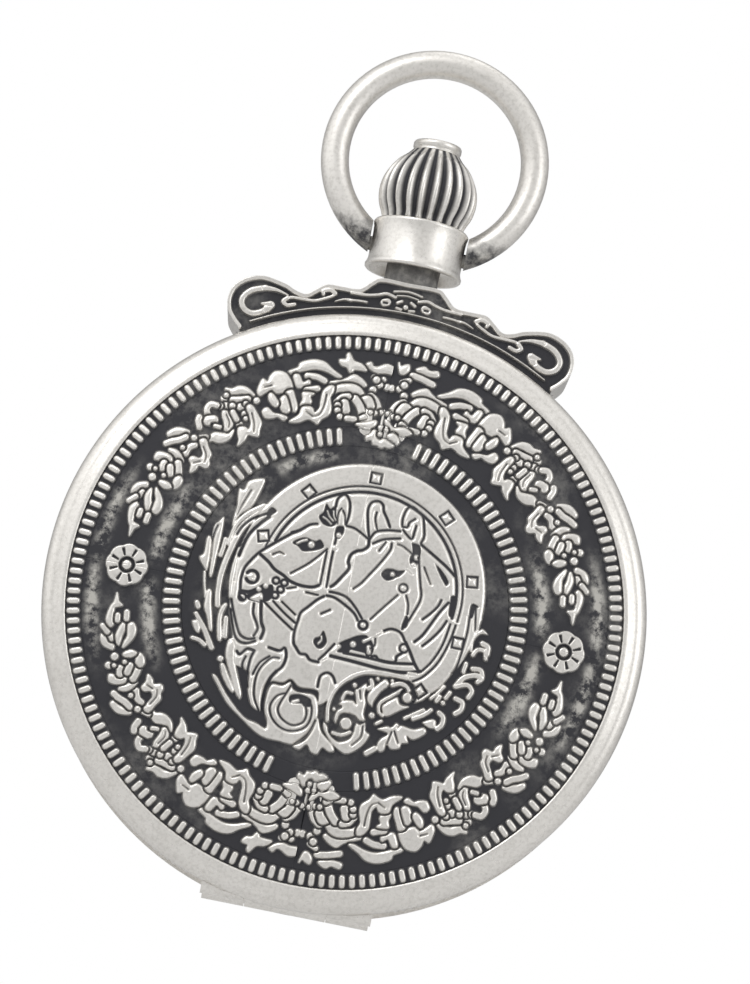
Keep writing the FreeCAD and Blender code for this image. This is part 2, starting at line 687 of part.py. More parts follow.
def mainplate():
    plate = disc("plate_radius", "plate_front", "plate_back")
    through = ("plate_front", "plate_back")
    tools = [
        disc("hour_room", "plate_front", "motion_floor"),
        disc("minute_room", "plate_front", "motion_floor", "minute_x", "minute_z"),
        block("-window_half", "window_half", *through, "window_foot", "window_top"),
        block("lever_low_x", "lever_high_x", "plate_front", "lever_floor", "lever_low_z", "lever_high_z"),
        rod(ALONG_Z, "stem_hole", "plate_radius", y="stem_line", z="stem_foot - 1"),
        disc("centre_hole", *through),
        disc("train_hole", *through, "0", "seconds_z"),
        disc("train_hole", *through, "third_x", "third_z"),
        disc("small_hole", *through, "escape_x", "escape_z"),
        disc("small_hole", *through, "pallet_x", "pallet_z"),
        disc("small_hole", *through, "balance_x", "balance_z"),
        disc("arbor_hole", *through, "barrel_x", "barrel_z"),
    ]
    stud = disc("minute_stud", "stud_front", "motion_floor", "minute_x", "minute_z")
    node("mainplate", fuse(cut(plate, *tools), stud))


def bridge_blank(x_low, z_low, z_high):
    """Part of a round plate that stands on a rim around the movement."""
    plate = disc("bridge_radius", "bridge_front", "bridge_back")
    rim = cut(
        disc("bridge_radius", "plate_back", "bridge_front"),
        disc("foot_ring", "plate_back", "bridge_front"),
    )
    part = block(x_low, "bridge_radius + 1", "plate_back", "bridge_back", z_low, z_high)
    return common(fuse(plate, rim), part)


def jewel_seat(x, z):
    return disc("jewel_radius", "plate_back", "bridge_back", x, z)


def screw_seats(*names):
    return [
        disc("screw_radius", "bridge_front", "bridge_back", f"{name}_screw_x", f"{name}_screw_z")
        for name in names
    ]


def bridges():
    barrel_bridge = cut(
        bridge_blank("-bridge_radius - 1", "bridge_split", "bridge_radius + 1"),
        disc("wheel_room", "wheel_floor", "bridge_back", "crown_wheel_x", "crown_wheel_z"),
        block("-window_half", "window_half", "teeth_front", "teeth_back", "teeth_foot", "teeth_top"),
        disc("arbor_room", "plate_back", "bridge_back", "barrel_x", "barrel_z"),
        jewel_seat("0", "0"),
        block("-pinion_half", "pinion_half", "plate_back", "bridge_front", "pinion_foot", "pinion_top"),
        *screw_seats("rim", "click", "right"),
    )
    node("barrel_bridge", barrel_bridge)
    train_bridge = cut(
        bridge_blank("-6.5", "-bridge_radius - 1", "train_split"),
        disc("balance_room", "plate_back", "bridge_back", "balance_x", "balance_z"),
        jewel_seat("0", "seconds_z"),
        jewel_seat("third_x", "third_z"),
        disc("escape_room", "plate_back", "bridge_back", "escape_x", "escape_z"),
        *screw_seats("train", "low"),
    )
    node("train_bridge", train_bridge)


def balance_cock():
    """A bar from its foot to the middle of the balance."""
    bar = bar_between("cock", "balance", "cock_front", "cock_thickness", "cock_width")
    cock = cut(
        fuse(
            bar,
            disc("cock_end", "cock_front", "bridge_back", "balance_x", "balance_z"),
            disc("cock_foot", "plate_back", "bridge_back", "cock_x", "cock_z"),
        ),
        disc("jewel_radius", "cock_front", "bridge_back", "balance_x", "balance_z"),
        disc("screw_radius", "bridge_front - 0.5", "bridge_back", "cock_x", "cock_z"),
    )
    node("balance_cock", cock)


def jewels():
    """Ruby bearings of the train and the balance, one solid each."""
    places = [("0", "0"), ("0", "seconds_z"), ("third_x", "third_z"), ("balance_x", "balance_z")]
    stones = [
        cut(
            disc("jewel_radius", "jewel_front", "bridge_back", x, z),
            disc("jewel_hole", "jewel_front", "bridge_back - 0.05", x, z),
        )
        for x, z in places
    ]
    group = DOC.addObject("Part::Compound", "stones")
    group.Links = stones
    node("bridge_jewels", group)


def bridge_screws():
    places = [(f"{name}_screw_x", f"{name}_screw_z") for name in ("rim", "click", "right", "train", "low")]
    screws = []
    for x, z in [*places, ("cock_x", "cock_z")]:
        head = disc("screw_head", "bridge_back", "bridge_back + head_height", x, z)
        shank = disc("screw_radius", "bridge_front", "bridge_back", x, z)
        slot = block(
            f"{x} - 1", f"{x} + 1",
            "bridge_back + slot_floor", "bridge_back + head_height + 0.1",
            f"{z} - slot_half", f"{z} + slot_half",
        )
        screws.append(cut(fuse(head, shank), slot))
    group = DOC.addObject("Part::Compound", "screws")
    group.Links = screws
    node("bridge_screws", group)


# ---- winding works -------------------------------------------------------------------------------


def contrate_teeth(sketch):
    """Teeth that stand on the crown wheel's rim and face the winding pinion."""
    add_windows(sketch, TEETH["crown_wheel"], 2.15, 2.85, 0.13)


def winding_works():
    to_crown = facing(size("barrel_x"), size("barrel_z"), size("crown_wheel_x"), size("crown_wheel_z"))
    wheel_body("ratchet_wheel", "barrel_x", "barrel_z", toothed("ratchet", "winding", to_crown, 0.62))
    crown_phase = gap_phase(to_crown + math.pi, TEETH["crown_wheel"])
    wheel_body(
        "crown_wheel", "crown_wheel_x", "crown_wheel_z",
        contrate_teeth,
        plain(2.9, 2.1),
        toothed("crown_wheel", "winding", crown_phase, 1.55),
    )
    wheel_body("crown_wheel_core", "crown_wheel_x", "crown_wheel_z", plain(1.5), plain(2.0))
    head = cut(
        disc("ratchet_head", "ratchet_head_front", "ratchet_head_back", "barrel_x", "barrel_z"),
        block(
            "barrel_x - 2", "barrel_x + 2",
            "ratchet_slot", "ratchet_head_back + 0.1",
            "barrel_z - slot_half", "barrel_z + slot_half",
        ),
    )
    shank = disc("screw_radius", "click_front", "ratchet_head_front", "barrel_x", "barrel_z")
    node("ratchet_screw", fuse(head, shank))


def bar_between(start, end, front, thickness, width):
    """A flat bar from one named place of the movement to another."""
    x_from, z_from, x_to, z_to = (size(f"{place}_{axis}") for place in (start, end) for axis in "xz")
    bar = DOC.addObject("Part::Box", "bar")
    bar.Length = math.hypot(x_to - x_from, z_to - z_from)
    bind(bar, Width=in_sheet(thickness), Height=in_sheet(width))
    turn = FreeCAD.Rotation(FreeCAD.Vector(0, 1, 0), -math.degrees(facing(x_from, z_from, x_to, z_to)))
    corner = turn.multVec(FreeCAD.Vector(0, 0, -size(width) / 2))
    return place(bar, turn, f"{start}_x + ({corner.x})", front, f"{start}_z + ({corner.z})")


def click():
    """Click on the barrel bridge, whose tip stands at the ratchet wheel's teeth, and its spring."""
    hub = disc("click_hub", "click_front", "click_back", "click_x", "click_z")
    arm = bar_between("click", "click_tip", "click_front", "click_back - click_front", "click_width")
    node("click", fuse(hub, arm))
    spring = bar_between(
        "click_spring", "click_spring_tip", "click_front", "click_spring_thickness", "click_spring_width"
    )
    node("click_spring", spring)


def along_stem(label, *layers):
    """A toothed piece on the stem; each layer is a function that draws on a sketch."""
    body = DOC.addObject("PartDesign::Body", label + "_body")
    for number, draw in enumerate(layers):
        low, high = f"{label}_level{number}", f"{label}_level{number + 1}"
        sketch = sketch_on(body, "XY_Plane", low)
        draw(sketch)
        add_pad(body, sketch, low, high)
    place(body, ALONG_Z, "0", "stem_line", "0")
    return node(label, body)


def keyless_lever(label, hub, x, z, tip, low, high):
    """A flat lever: a round hub and an arm that reaches to the stem."""
    flat = ("keyless_front", "keyless_back")
    node(label, fuse(disc(hub, *flat, x, z), block(tip, x, *flat, low, high)))


def keyless_works():
    along_stem("winding_pinion", toothed("winding_pinion", "keyless", bore=0.65))
    along_stem(
        "sliding_pinion",
        toothed("sliding_pinion", "keyless", bore=0.65),
        plain(0.85, 0.65),
        plain(1.15, 0.65),
    )
    keyless_lever(
        "setting_lever", "lever_hub", "lever_x", "lever_z", "lever_tip", "lever_z - 0.25", "lever_z + 0.25"
    )
    keyless_lever(
        "yoke", "yoke_hub", "yoke_x", "yoke_z", "yoke_tip", "yoke_z - yoke_half", "yoke_z + yoke_half"
    )


# ---- escapement ----------------------------------------------------------------------------------


def pallet_fork():
    """Lever with two arms round the escape wheel; its stones stop short of the teeth."""
    reach = facing(size("pallet_x"), size("pallet_z"), size("balance_x"), size("balance_z"))
    body = DOC.addObject("PartDesign::Body", "fork_body")
    sketch = sketch_on(body, "XZ_Plane", "-(fork_back)")
    along = FreeCAD.Vector(math.cos(reach), math.sin(reach), 0)
    across = FreeCAD.Vector(-along.y, along.x, 0)
    half = [
        (2.75, 0.3), (2.25, 0.12), (0.6, 0.15), (0.35, 0.5), (-0.1, 1.95), (-0.75, 2.2),
        (-0.9, 1.85), (-0.45, 1.55), (-0.3, 0.45),
    ]
    corners = [along * a + across * b for a, b in half]
    corners += [along * a - across * b for a, b in reversed(half)]
    add_polygon(sketch, corners)
    add_pad(body, sketch, "fork_front", "fork_back")
    place(body, ALONG_Z, "pallet_x", "0", "pallet_z")
    arbor = disc("fork_arbor", "fork_arbor_front", "fork_arbor_back", "pallet_x", "pallet_z")
    node("pallet_fork", fuse(body, arbor))


def pallet_cock():
    """Small bridge over the pallet fork, with one foot on the mainplate."""
    cock = fuse(
        disc("fork_cock_end", "fork_cock_front", "fork_cock_back", "pallet_x", "pallet_z"),
        disc("fork_cock_end", "plate_back", "fork_cock_back", "fork_cock_x", "fork_cock_z"),
        bar_between(
            "pallet", "fork_cock", "fork_cock_front", "fork_cock_back - fork_cock_front", "fork_cock_width"
        ),
    )
    hole = disc("small_hole", "fork_hole_front", "fork_hole_back", "pallet_x", "pallet_z")
    node("pallet_cock", cut(cock, hole))


def balance_rim(sketch):
    """Rim of the balance with three arms."""
    add_circle(sketch, size("balance_radius"))
    add_windows(sketch, 3, 0.9, size("balance_radius") - 0.55, 0.28)


def balance():
    wheel_body(
        "balance_wheel", "balance_x", "balance_z",
        plain(0.15), plain(0.8), plain(0.3), balance_rim, plain(0.15),
    )


def coil(turns, steps, outwards):
    """Points of a flat spiral from the collet to the stud, moved outwards by a distance."""
    inner, outer = size("coil_inner"), size("coil_outer")
    plane = size("spring_plane")
    points = []
    for step in range(steps + 1):
        angle = 2 * math.pi * turns * step / steps
        radius = inner + (outer - inner) * step / steps + outwards
        points.append(FreeCAD.Vector(radius * math.cos(angle), plane, radius * math.sin(angle)))
    return points


def hairspring():
    turns, steps = 9, 216
    inside = coil(turns, steps, 0)
    outside = coil(turns, steps, size("coil_thickness"))
    face = Part.Face(Part.makePolygon(inside + outside[::-1] + inside[:1]))
    spring = DOC.addObject("Part::Feature", "spring")
    spring.Shape = face.extrude(FreeCAD.Vector(0, size("spring_height"), 0))
    place(spring, ALONG_Z, "balance_x", "0", "balance_z")
    node("hairspring", spring)


# ---- hands ---------------------------------------------------------------------------------------


# Each hand: length, half width at the hub, hub radius, bore, height (z) of its arbor, degrees past 12.
HANDS = {
    "hour_hand": (10.5, 0.55, 1.5, 1.05, "0", 304.5),
    "minute_hand": (15.5, 0.4, 1.2, 0.75, "0", 54.0),
    "seconds_hand": (3.0, 0.12, 0.45, 0.2, "seconds_z", 200.0),
}


def hand(label, length, width, hub, bore, centre_z, past_12):
    """A straight tapering hand with a round hub."""
    front, back = f"{label}_level0", f"{label}_level1"
    body = DOC.addObject("PartDesign::Body", label + "_body")
    sketch = sketch_on(body, "XZ_Plane", f"-({back})")
    turn = math.radians(90 - past_12)
    along = FreeCAD.Vector(math.cos(turn), math.sin(turn), 0)
    across = FreeCAD.Vector(-along.y, along.x, 0)
    outline = [(0, width), (length * 0.75, width * 0.7), (length, 0.06)]
    corners = [along * a + across * b for a, b in outline]
    corners += [along * a - across * b for a, b in reversed(outline)]
    add_polygon(sketch, corners)
    add_pad(body, sketch, front, back)
    place(body, ALONG_Z, "0", "0", centre_z)
    shape = fuse(body, disc(str(hub), front, back, "0", centre_z))
    node(label, cut(shape, disc(str(bore), front, back, "0", centre_z)))


def hands():
    for label, values in HANDS.items():
        hand(label, *values)


front_cover()
back_cover()
case_band()
hinge_pin("front_hinge_pin", "front_seam")
hinge_pin("back_hinge_pin", "back_seam")
shoulder_ornament()
pendant()
bow()
crown()
stem()
catch()
glass_and_dial()
springs_and_ring()
mainplate()
bridges()
balance_cock()
jewels()
bridge_screws()
going_train()
motion_work()
winding_works()
click()
keyless_works()
pallet_fork()
pallet_cock()
balance()
hairspring()
hands()
DOC.recompute()

for thing in DOC.Objects:
    if "Invalid" in thing.State or "Error" in thing.State:
        raise RuntimeError(f"{thing.Name} ({thing.Label}) failed: {thing.State}")

os.makedirs("parts", exist_ok=True)
for thing in NODES:
    if thing.Shape.isNull() or not thing.Shape.isValid():
        raise RuntimeError(f"{thing.Label} has no valid shape")
    thing.Shape.exportStep(f"parts/{thing.Label}.step")
print(len(NODES), "nodes")
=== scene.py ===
"""Looks of the hunter pocket watch: chased lids, coin edge, ornament, collar, crown and dial marks,
and a finish for every CAD node.

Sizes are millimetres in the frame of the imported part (+X to 3 o'clock, +Z to the crown, +Y out of
the back lid), and become metres where a mesh is made. Angles of the case are degrees clockwise
from 12 o'clock.
"""

import json
import math

import bpy
import numpy as np
from mathutils import Matrix, Vector


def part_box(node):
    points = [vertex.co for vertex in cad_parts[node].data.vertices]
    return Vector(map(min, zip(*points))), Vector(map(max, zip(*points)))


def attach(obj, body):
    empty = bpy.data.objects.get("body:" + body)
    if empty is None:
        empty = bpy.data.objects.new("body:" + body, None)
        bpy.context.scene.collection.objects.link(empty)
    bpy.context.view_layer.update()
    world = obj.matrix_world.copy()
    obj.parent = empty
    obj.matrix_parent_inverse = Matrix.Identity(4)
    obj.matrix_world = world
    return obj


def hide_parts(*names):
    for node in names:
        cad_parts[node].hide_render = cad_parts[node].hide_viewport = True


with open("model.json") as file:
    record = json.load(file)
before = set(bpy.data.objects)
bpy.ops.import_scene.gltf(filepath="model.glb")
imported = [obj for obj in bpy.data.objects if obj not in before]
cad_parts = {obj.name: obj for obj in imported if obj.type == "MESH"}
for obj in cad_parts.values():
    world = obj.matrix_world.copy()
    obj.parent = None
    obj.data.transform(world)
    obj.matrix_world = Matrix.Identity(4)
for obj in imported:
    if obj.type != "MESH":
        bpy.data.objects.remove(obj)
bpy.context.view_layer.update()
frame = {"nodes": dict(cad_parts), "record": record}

MM = 0.001


# ---- sizes from the frame -------------------------------------------------------------------------


def span(node):
    """Lowest and highest corner of a CAD node in millimetres."""
    low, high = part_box(node)
    return np.array(low) / MM, np.array(high) / MM


lid_low, _ = span("front_cover")
_, back_high = span("back_cover")
band_low, band_high = span("case_band")
collar_low, collar_high = span("bow_collar")
crown_low, crown_high = span("crown")
cap_low, cap_high = span("crown_cap")
dial_low, _ = span("dial")
ornament_low, ornament_high = span("shoulder_ornament")

STEM_LINE = (crown_low[1] + crown_high[1]) / 2
LID_FACE = lid_low[1]
BACK_FACE = back_high[1]
# Radii of the lids' domes, and how far the flat middle of the back lid cuts into its dome.
FRONT_DOME = 158.0
BACK_DOME = 184.0
BACK_FLAT = 0.1


def front_surface(radius):
    """Height (y) of the front lid's plain dome at a distance from the middle."""
    return LID_FACE + FRONT_DOME - np.sqrt(FRONT_DOME**2 - np.square(radius))


def back_surface(radius):
    """Height (y) of the back lid's dome, which is flat in the middle."""
    dome = BACK_FACE + BACK_FLAT - BACK_DOME + np.sqrt(BACK_DOME**2 - np.square(radius))
    return np.minimum(dome, BACK_FACE)


# ---- meshes --------------------------------------------------------------------------------------


def add_object(name, data):
    """A new object of the scene that shows a mesh or a curve, or is a lamp or a camera."""
    thing = bpy.data.objects.new(name, data)
    bpy.context.scene.collection.objects.link(thing)
    return thing


def add_piece(name, vertices, faces, body, material, smooth=True, replaces=()):
    """A mesh object from points in millimetres that rides on a CAD body."""
    mesh = bpy.data.meshes.new(name)
    mesh.from_pydata((np.asarray(vertices, float) * MM).tolist(), [], faces)
    mesh.validate()
    mesh.polygons.foreach_set("use_smooth", [smooth] * len(mesh.polygons))
    mesh.materials.append(material)
    piece = add_object(name, mesh)
    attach(piece, body)
    if replaces:
        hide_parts(*replaces)
    return piece


def set_tone(piece, tone, name="tone"):
    """Stores a value for each point of a piece, for its material to read; the rest get 0.

    "tone" runs from 0 for bright metal to 1 for oxidised metal (on the crown's flutes, painted shade and dark
    reflection), and "wear" says how rubbed dark ground is."""
    values = np.zeros(len(piece.data.vertices), np.float32)
    values[: tone.size] = tone.ravel()
    layer = piece.data.attributes.new(name, "FLOAT", "POINT")
    layer.data.foreach_set("value", values)


def sheet_faces(rows, columns, wrap=False, flip=False):
    """Quads over a grid of points numbered row by row; wrap joins the last row to the first."""
    row = np.arange(rows if wrap else rows - 1)[:, None]
    column = np.arange(columns - 1)[None, :]
    after = (row + 1) % rows
    corners = [row * columns + column, row * columns + column + 1,
               after * columns + column + 1, after * columns + column]
    if flip:
        corners.reverse()
    shape = (row.size, columns - 1)
    return np.stack([np.broadcast_to(c, shape) for c in corners], -1).reshape(-1, 4).tolist()


def below(top, step):
    """Points under the two ends of each row, a step along y from them."""
    under = top[:, [0, -1]].copy()
    under[..., 1] += step
    return under


def slab(name, top, under, tone, body, material, wrap=False, flip=False):
    """Closed plate: a grid of points on top and, under both ends of each row, the given points.

    The top is shaded smooth and the walls and floor flat, so that the edge between them stays sharp."""
    rows, columns = top.shape[:2]
    vertices = np.concatenate([top.reshape(-1, 3), under.reshape(-1, 3)])
    base = rows * columns
    faces = sheet_faces(rows, columns, wrap, flip)
    smooth_count = len(faces)
    for row in range(rows if wrap else rows - 1):
        after = (row + 1) % rows
        here, there = base + 2 * row, base + 2 * after
        near = [row * columns, after * columns, there, here]
        far = [after * columns + columns - 1, row * columns + columns - 1, here + 1, there + 1]
        bottom = [here, there, there + 1, here + 1]
        faces += [quad[::-1] if flip else quad for quad in (near, far, bottom)]
    if not wrap:
        last = (rows - 1) * columns
        first_end = [base + 1, *range(columns - 1, -1, -1), base]
        last_end = [base + 2 * rows - 2, *range(last, last + columns), base + 2 * rows - 1]
        faces += [end[::-1] if flip else end for end in (first_end, last_end)]
    piece = add_piece(name, vertices, faces, body, material)
    polygons = piece.data.polygons
    polygons.foreach_set("use_smooth", [index < smooth_count for index in range(len(polygons))])
    set_tone(piece, tone)
    return piece


def lathe(name, profile, body, material, axis="z", steps=160, reach=None, replaces=()):
    """Closed ring or solid turned from a closed profile of (radius, height) points.

    axis "z" turns about the stem's line and axis "y" about the middle of the case.
    reach(radius, height, angle) may change the radius, for ribs."""
    profile = np.asarray(profile, float)
    angle = np.linspace(0, 2 * math.pi, steps, endpoint=False)[:, None]
    radius = np.broadcast_to(profile[:, 0], (steps, len(profile)))
    height = np.broadcast_to(profile[:, 1], (steps, len(profile)))
    if reach:
        radius = reach(radius, height, angle)
    across, along = radius * np.cos(angle), radius * np.sin(angle)
    if axis == "z":
        points = np.stack([across, STEM_LINE + along, height], -1)
    else:
        points = np.stack([across, height, -along], -1)
    count = len(profile)
    faces = []
    for row in range(steps):
        after = (row + 1) % steps
        for column in range(count):
            right = (column + 1) % count
            faces.append([row * count + column, after * count + column,
                          after * count + right, row * count + right])
    return add_piece(name, points.reshape(-1, 3), faces, body, material, replaces=replaces)


# ---- drawing a chased surface --------------------------------------------------------------------


def smooth_line(points, closed=False, steps=5):
    """Catmull-Rom curve through the points; a point given twice makes a corner."""
    points = np.asarray(points, float)
    if len(points) == 2 and not closed:
        return points
    lead, trail = (points[-1:], points[:2]) if closed else (points[:1], points[-1:])
    path = np.concatenate([lead, points, trail])
    t = np.linspace(0, 1, steps, endpoint=False)[:, None]
    pieces = []
    for before, start, end, after in zip(path, path[1:], path[2:], path[3:]):
        if np.allclose(start, end):
            continue
        pieces.append(0.5 * (
            2 * start + (end - before) * t
            + (2 * before - 5 * start + 4 * end - after) * t**2
            + (3 * start - before - 3 * end + after) * t**3
        ))
    if not closed:
        pieces.append(points[-1:])
    return np.concatenate(pieces)


def distance_to(x, z, line, closed=False):
    """Distance from points to a line, and how far along it the nearest place is, from 0 to 1."""
    starts = line if closed else line[:-1]
    ends = np.roll(line, -1, axis=0) if closed else line[1:]
    best = np.full(x.shape, np.inf)
    where = np.zeros(x.shape)
    for i, (start, end) in enumerate(zip(starts, ends)):
        run = end - start
        length = max(float(run @ run), 1e-12)
        share = np.clip(((x - start[0]) * run[0] + (z - start[1]) * run[1]) / length, 0, 1)
        gap = np.hypot(x - start[0] - share * run[0], z - start[1] - share * run[1])
        nearer = gap < best
        best[nearer] = gap[nearer]
        where[nearer] = (i + share[nearer]) / len(starts)
    return best, where


def depth_inside(x, z, outline):
    """Distance to a closed outline, positive inside it and negative outside."""
    gap, _ = distance_to(x, z, outline, closed=True)
    inside = np.zeros(x.shape, bool)
    for start, end in zip(outline, np.roll(outline, -1, axis=0)):
        if start[1] == end[1]:
            continue
        crosses = (start[1] > z) != (end[1] > z)
        inside ^= crosses & (x < start[0] + (z - start[1]) * (end[0] - start[0]) / (end[1] - start[1]))
    return np.where(inside, gap, -gap)


def ramp(value):
    """Smooth step from 0 to 1 as the value goes from -0.5 to 0.5."""
    share = np.clip(value + 0.5, 0, 1)
    return share * share * (3 - 2 * share)


# Raised work: its height, the width of its rising edge, and the depth and width of its rounded rim.
PLATE = 0.36
EDGE = 0.11
RIM_DROP, RIM_WIDTH = 0.3, 0.16
# Engraved work: its depth, the width of its edge, and how much wider than drawn the chisel cuts.
GROOVE = 0.2
CUT_EDGE = 0.09
CHISEL = 1.3


class Relief:
    """Height and darkness of a chased surface, drawn shape by shape over a field of points.

    place(a, b) turns the coordinates of a drawing into x and z."""

    def __init__(self, x, z, place=lambda a, b: (a, b), swell=0.0, moat=0.0):
        self.x, self.z = x.ravel(), z.ravel()
        self.swell, self.moat = swell, moat
        self.shape = x.shape
        self.height = np.zeros(x.size)
        self.groove = np.zeros(x.size)
        self.dark = np.ones(x.size)
        self.place = place

    def line_of(self, points, closed=False):
        """Curve through points of the drawing, in x and z."""
        return smooth_line([self.place(*point) for point in points], closed)

    def near(self, line, margin):
        """Numbers of the field's points within a margin of a line's box."""
        low, high = line.min(0) - margin, line.max(0) + margin
        return np.flatnonzero(
            (self.x > low[0]) & (self.x < high[0]) & (self.z > low[1]) & (self.z < high[1])
        )

    def lift(self, index, depth, height):
        """Raises bright metal over what was drawn before, where the depth inside a shape is positive.

        Each shape grows by the swell, and a dark moat round it parts it from its neighbours."""
        if self.moat:
            gap = ramp((depth + self.swell + self.moat) / EDGE)
            self.height[index] *= 1 - gap
            self.dark[index] += gap * (1 - self.dark[index])
        cover = ramp((depth + self.swell) / EDGE)
        self.height[index] += cover * (height - self.height[index])
        self.groove[index] *= 1 - cover
        self.dark[index] *= 1 - cover

    def plate(self, *points, height=PLATE):
        """Raised shape with a closed outline and rounded edges."""
        outline = self.line_of(points, closed=True)
        index = self.near(outline, 0.4)
        depth = depth_inside(self.x[index], self.z[index], outline)
        bevel = RIM_DROP * np.exp(-np.square(np.maximum(depth + self.swell, 0) / RIM_WIDTH))
        self.lift(index, depth, height * (1 - bevel))

    def strip(self, half, *points, height=PLATE, taper=0.0):
        """Raised bead-like band along a line."""
        line = self.line_of(points)
        index = self.near(line, half + 0.4)
        gap, where = distance_to(self.x[index], self.z[index], line)
        width = half * (1 - taper * where)
        round_over = np.sqrt(np.clip(1 - np.square(gap / (width + self.swell + 1e-6)), 0, 1))
        self.lift(index, width - gap, height * (0.65 + 0.35 * round_over))

    def bead(self, x, z, radius, height=PLATE):
        self.strip(radius, (x, z), (x + 0.001, z), height=height)

    def cut(self, index, cover, soft):
        """Sinks and darkens the points where the two shares are high."""
        self.groove[index] = np.maximum(self.groove[index], GROOVE * soft)
        self.dark[index] = np.maximum(self.dark[index], cover)

    def line(self, half, *points, taper=0.0):
        """Engraved dark line; taper narrows it towards its last point."""
        line = self.line_of(points)
        index = self.near(line, half + 0.35)
        gap, where = distance_to(self.x[index], self.z[index], line)
        width = CHISEL * half * (1 - taper * where)
        self.cut(index, ramp((width - gap) / CUT_EDGE), np.exp(-np.square(gap / (width + 0.06))))

    def ring(self, half, x, z, radius, start=0, sweep=360):
        """Engraved arc about a point."""
        angles = np.radians(np.linspace(start, start + sweep, 13))
        self.line(half, *((x + radius * math.sin(a), z + radius * math.cos(a)) for a in angles))

    def shade(self, *points):
        """Sunk dark area with a closed outline."""
        outline = self.line_of(points, closed=True)
        index = self.near(outline, 0.3)
        depth = depth_inside(self.x[index], self.z[index], outline)
        self.cut(index, ramp(depth / CUT_EDGE), ramp(depth / 0.2))

    def result(self):
        """Height and darkness over the field, in its own shape."""
        height = np.maximum(self.height - self.groove, 0)
        return height.reshape(self.shape), self.dark.reshape(self.shape)


# ---- materials -----------------------------------------------------------------------------------


def new_material(name):
    material = bpy.data.materials.new(name)
    material.use_nodes = True
    return material, material.node_tree


def feed(tree, node, inputs):
    """Gives a node's sockets a value each, or a link from another node's output."""
    for socket, value in inputs.items():
        if isinstance(value, bpy.types.NodeSocket):
            tree.links.new(value, node.inputs[socket])
        else:
            node.inputs[socket].default_value = value


def finished(material, inputs):
    """The material, with its shader's sockets fed."""
    feed(material.node_tree, material.node_tree.nodes["Principled BSDF"], inputs)
    return material


def add_node(tree, kind, inputs, **settings):
    node = tree.nodes.new("ShaderNode" + kind)
    for key, value in settings.items():
        setattr(node, key, value)
    feed(tree, node, inputs)
    return node


def spread(tree, value, low, high, start=0.0, end=1.0):
    """Maps a value from start..end to low..high."""
    return add_node(tree, "MapRange", {
        "Value": value, "From Min": start, "From Max": end, "To Min": low, "To Max": high,
    }).outputs["Result"]


def multiply(tree, first, second):
    return add_node(tree, "Math", {0: first, 1: second}, operation="MULTIPLY").outputs[0]


def add(tree, first, second):
    return add_node(tree, "Math", {0: first, 1: second}, operation="ADD").outputs[0]


def blend_colour(tree, share, first, second):
    """Mixes two colours: the first at a share of 0 and the second at 1."""
    return add_node(tree, "Mix", {0: share, 6: first, 7: second}, data_type="RGBA").outputs[2]


def coordinates(tree, kind="Object"):
    return add_node(tree, "TexCoord", {}).outputs[kind]


def attribute(tree, name):
    return add_node(tree, "Attribute", {}, attribute_name=name).outputs["Fac"]


def noise(tree, scale, detail, stretch=(1, 1, 1), roughness=0.55):
    """Noise over the piece's own coordinates, scale in cycles per metre."""
    mapping = add_node(tree, "Mapping", {"Vector": coordinates(tree), "Scale": stretch})
    return add_node(tree, "TexNoise", {
        "Vector": mapping.outputs["Vector"], "Scale": scale, "Detail": detail, "Roughness": roughness,
    }).outputs["Fac"]


def bump(tree, height, distance, strength):
    inputs = {"Height": height, "Distance": distance, "Strength": strength}
    return add_node(tree, "Bump", inputs).outputs["Normal"]


SILVER = (0.86, 0.835, 0.795, 1)
WORN_SILVER = (0.74, 0.715, 0.675, 1)
DULL_SILVER = (0.56, 0.54, 0.50, 1)
OXIDE = (0.034, 0.034, 0.04, 1)
SCUFFED_OXIDE = (0.5, 0.485, 0.45, 1)


def darker(colour, share):
    return tuple(c * (1 - share) for c in colour[:3]) + (1,)


def worn(tree, dull):
    """Colour of silver with soft clouds and fine specks of wear."""
    clouds = spread(tree, noise(tree, 300, 4), 0, dull, 0.35, 0.7)
    specks = spread(tree, noise(tree, 3200, 3), 0, dull, 0.45, 0.75)
    return blend_colour(tree, specks, blend_colour(tree, clouds, SILVER, WORN_SILVER), DULL_SILVER)


def silver(name, roughness, dull):
    """Worn silver with fine scratches."""
    material, tree = new_material(name)
    scratch = noise(tree, 5200, 3)
    return finished(material, {
        "Base Color": worn(tree, dull),
        "Metallic": 1.0,
        "Roughness": spread(tree, scratch, roughness - 0.06, roughness + 0.1, 0.3, 0.7),
        "Normal": bump(tree, scratch, 0.00001, 0.5),
    })


def chased_silver(name, scuffs):
    """Bright silver on the raised work and dark oxide in the hollows, by the piece's own tone; on the crown
    the dark tone in the flutes is painted shade and painted dark reflection.

    The oxide is rubbed bright in fine specks: in patches by scuffs, and where the wear is high."""
    material, tree = new_material(name)
    tone = attribute(tree, "tone")
    fine = spread(tree, noise(tree, 900, 6, roughness=0.7), 0, 1, 0.42, 0.66)
    patches = spread(tree, noise(tree, 120, 2), 0, scuffs, 0.5, 0.7)
    rub = multiply(tree, fine, add(tree, patches, attribute(tree, "wear")))
    dark = blend_colour(tree, rub, OXIDE, SCUFFED_OXIDE)
    return finished(material, {
        "Base Color": blend_colour(tree, tone, worn(tree, 0.5), dark),
        "Metallic": spread(tree, tone, 1.0, 0.35),
        "Roughness": spread(tree, tone, 0.3, 0.62),
        "Normal": bump(tree, noise(tree, 9000, 2), 0.000012, 0.6),
    })


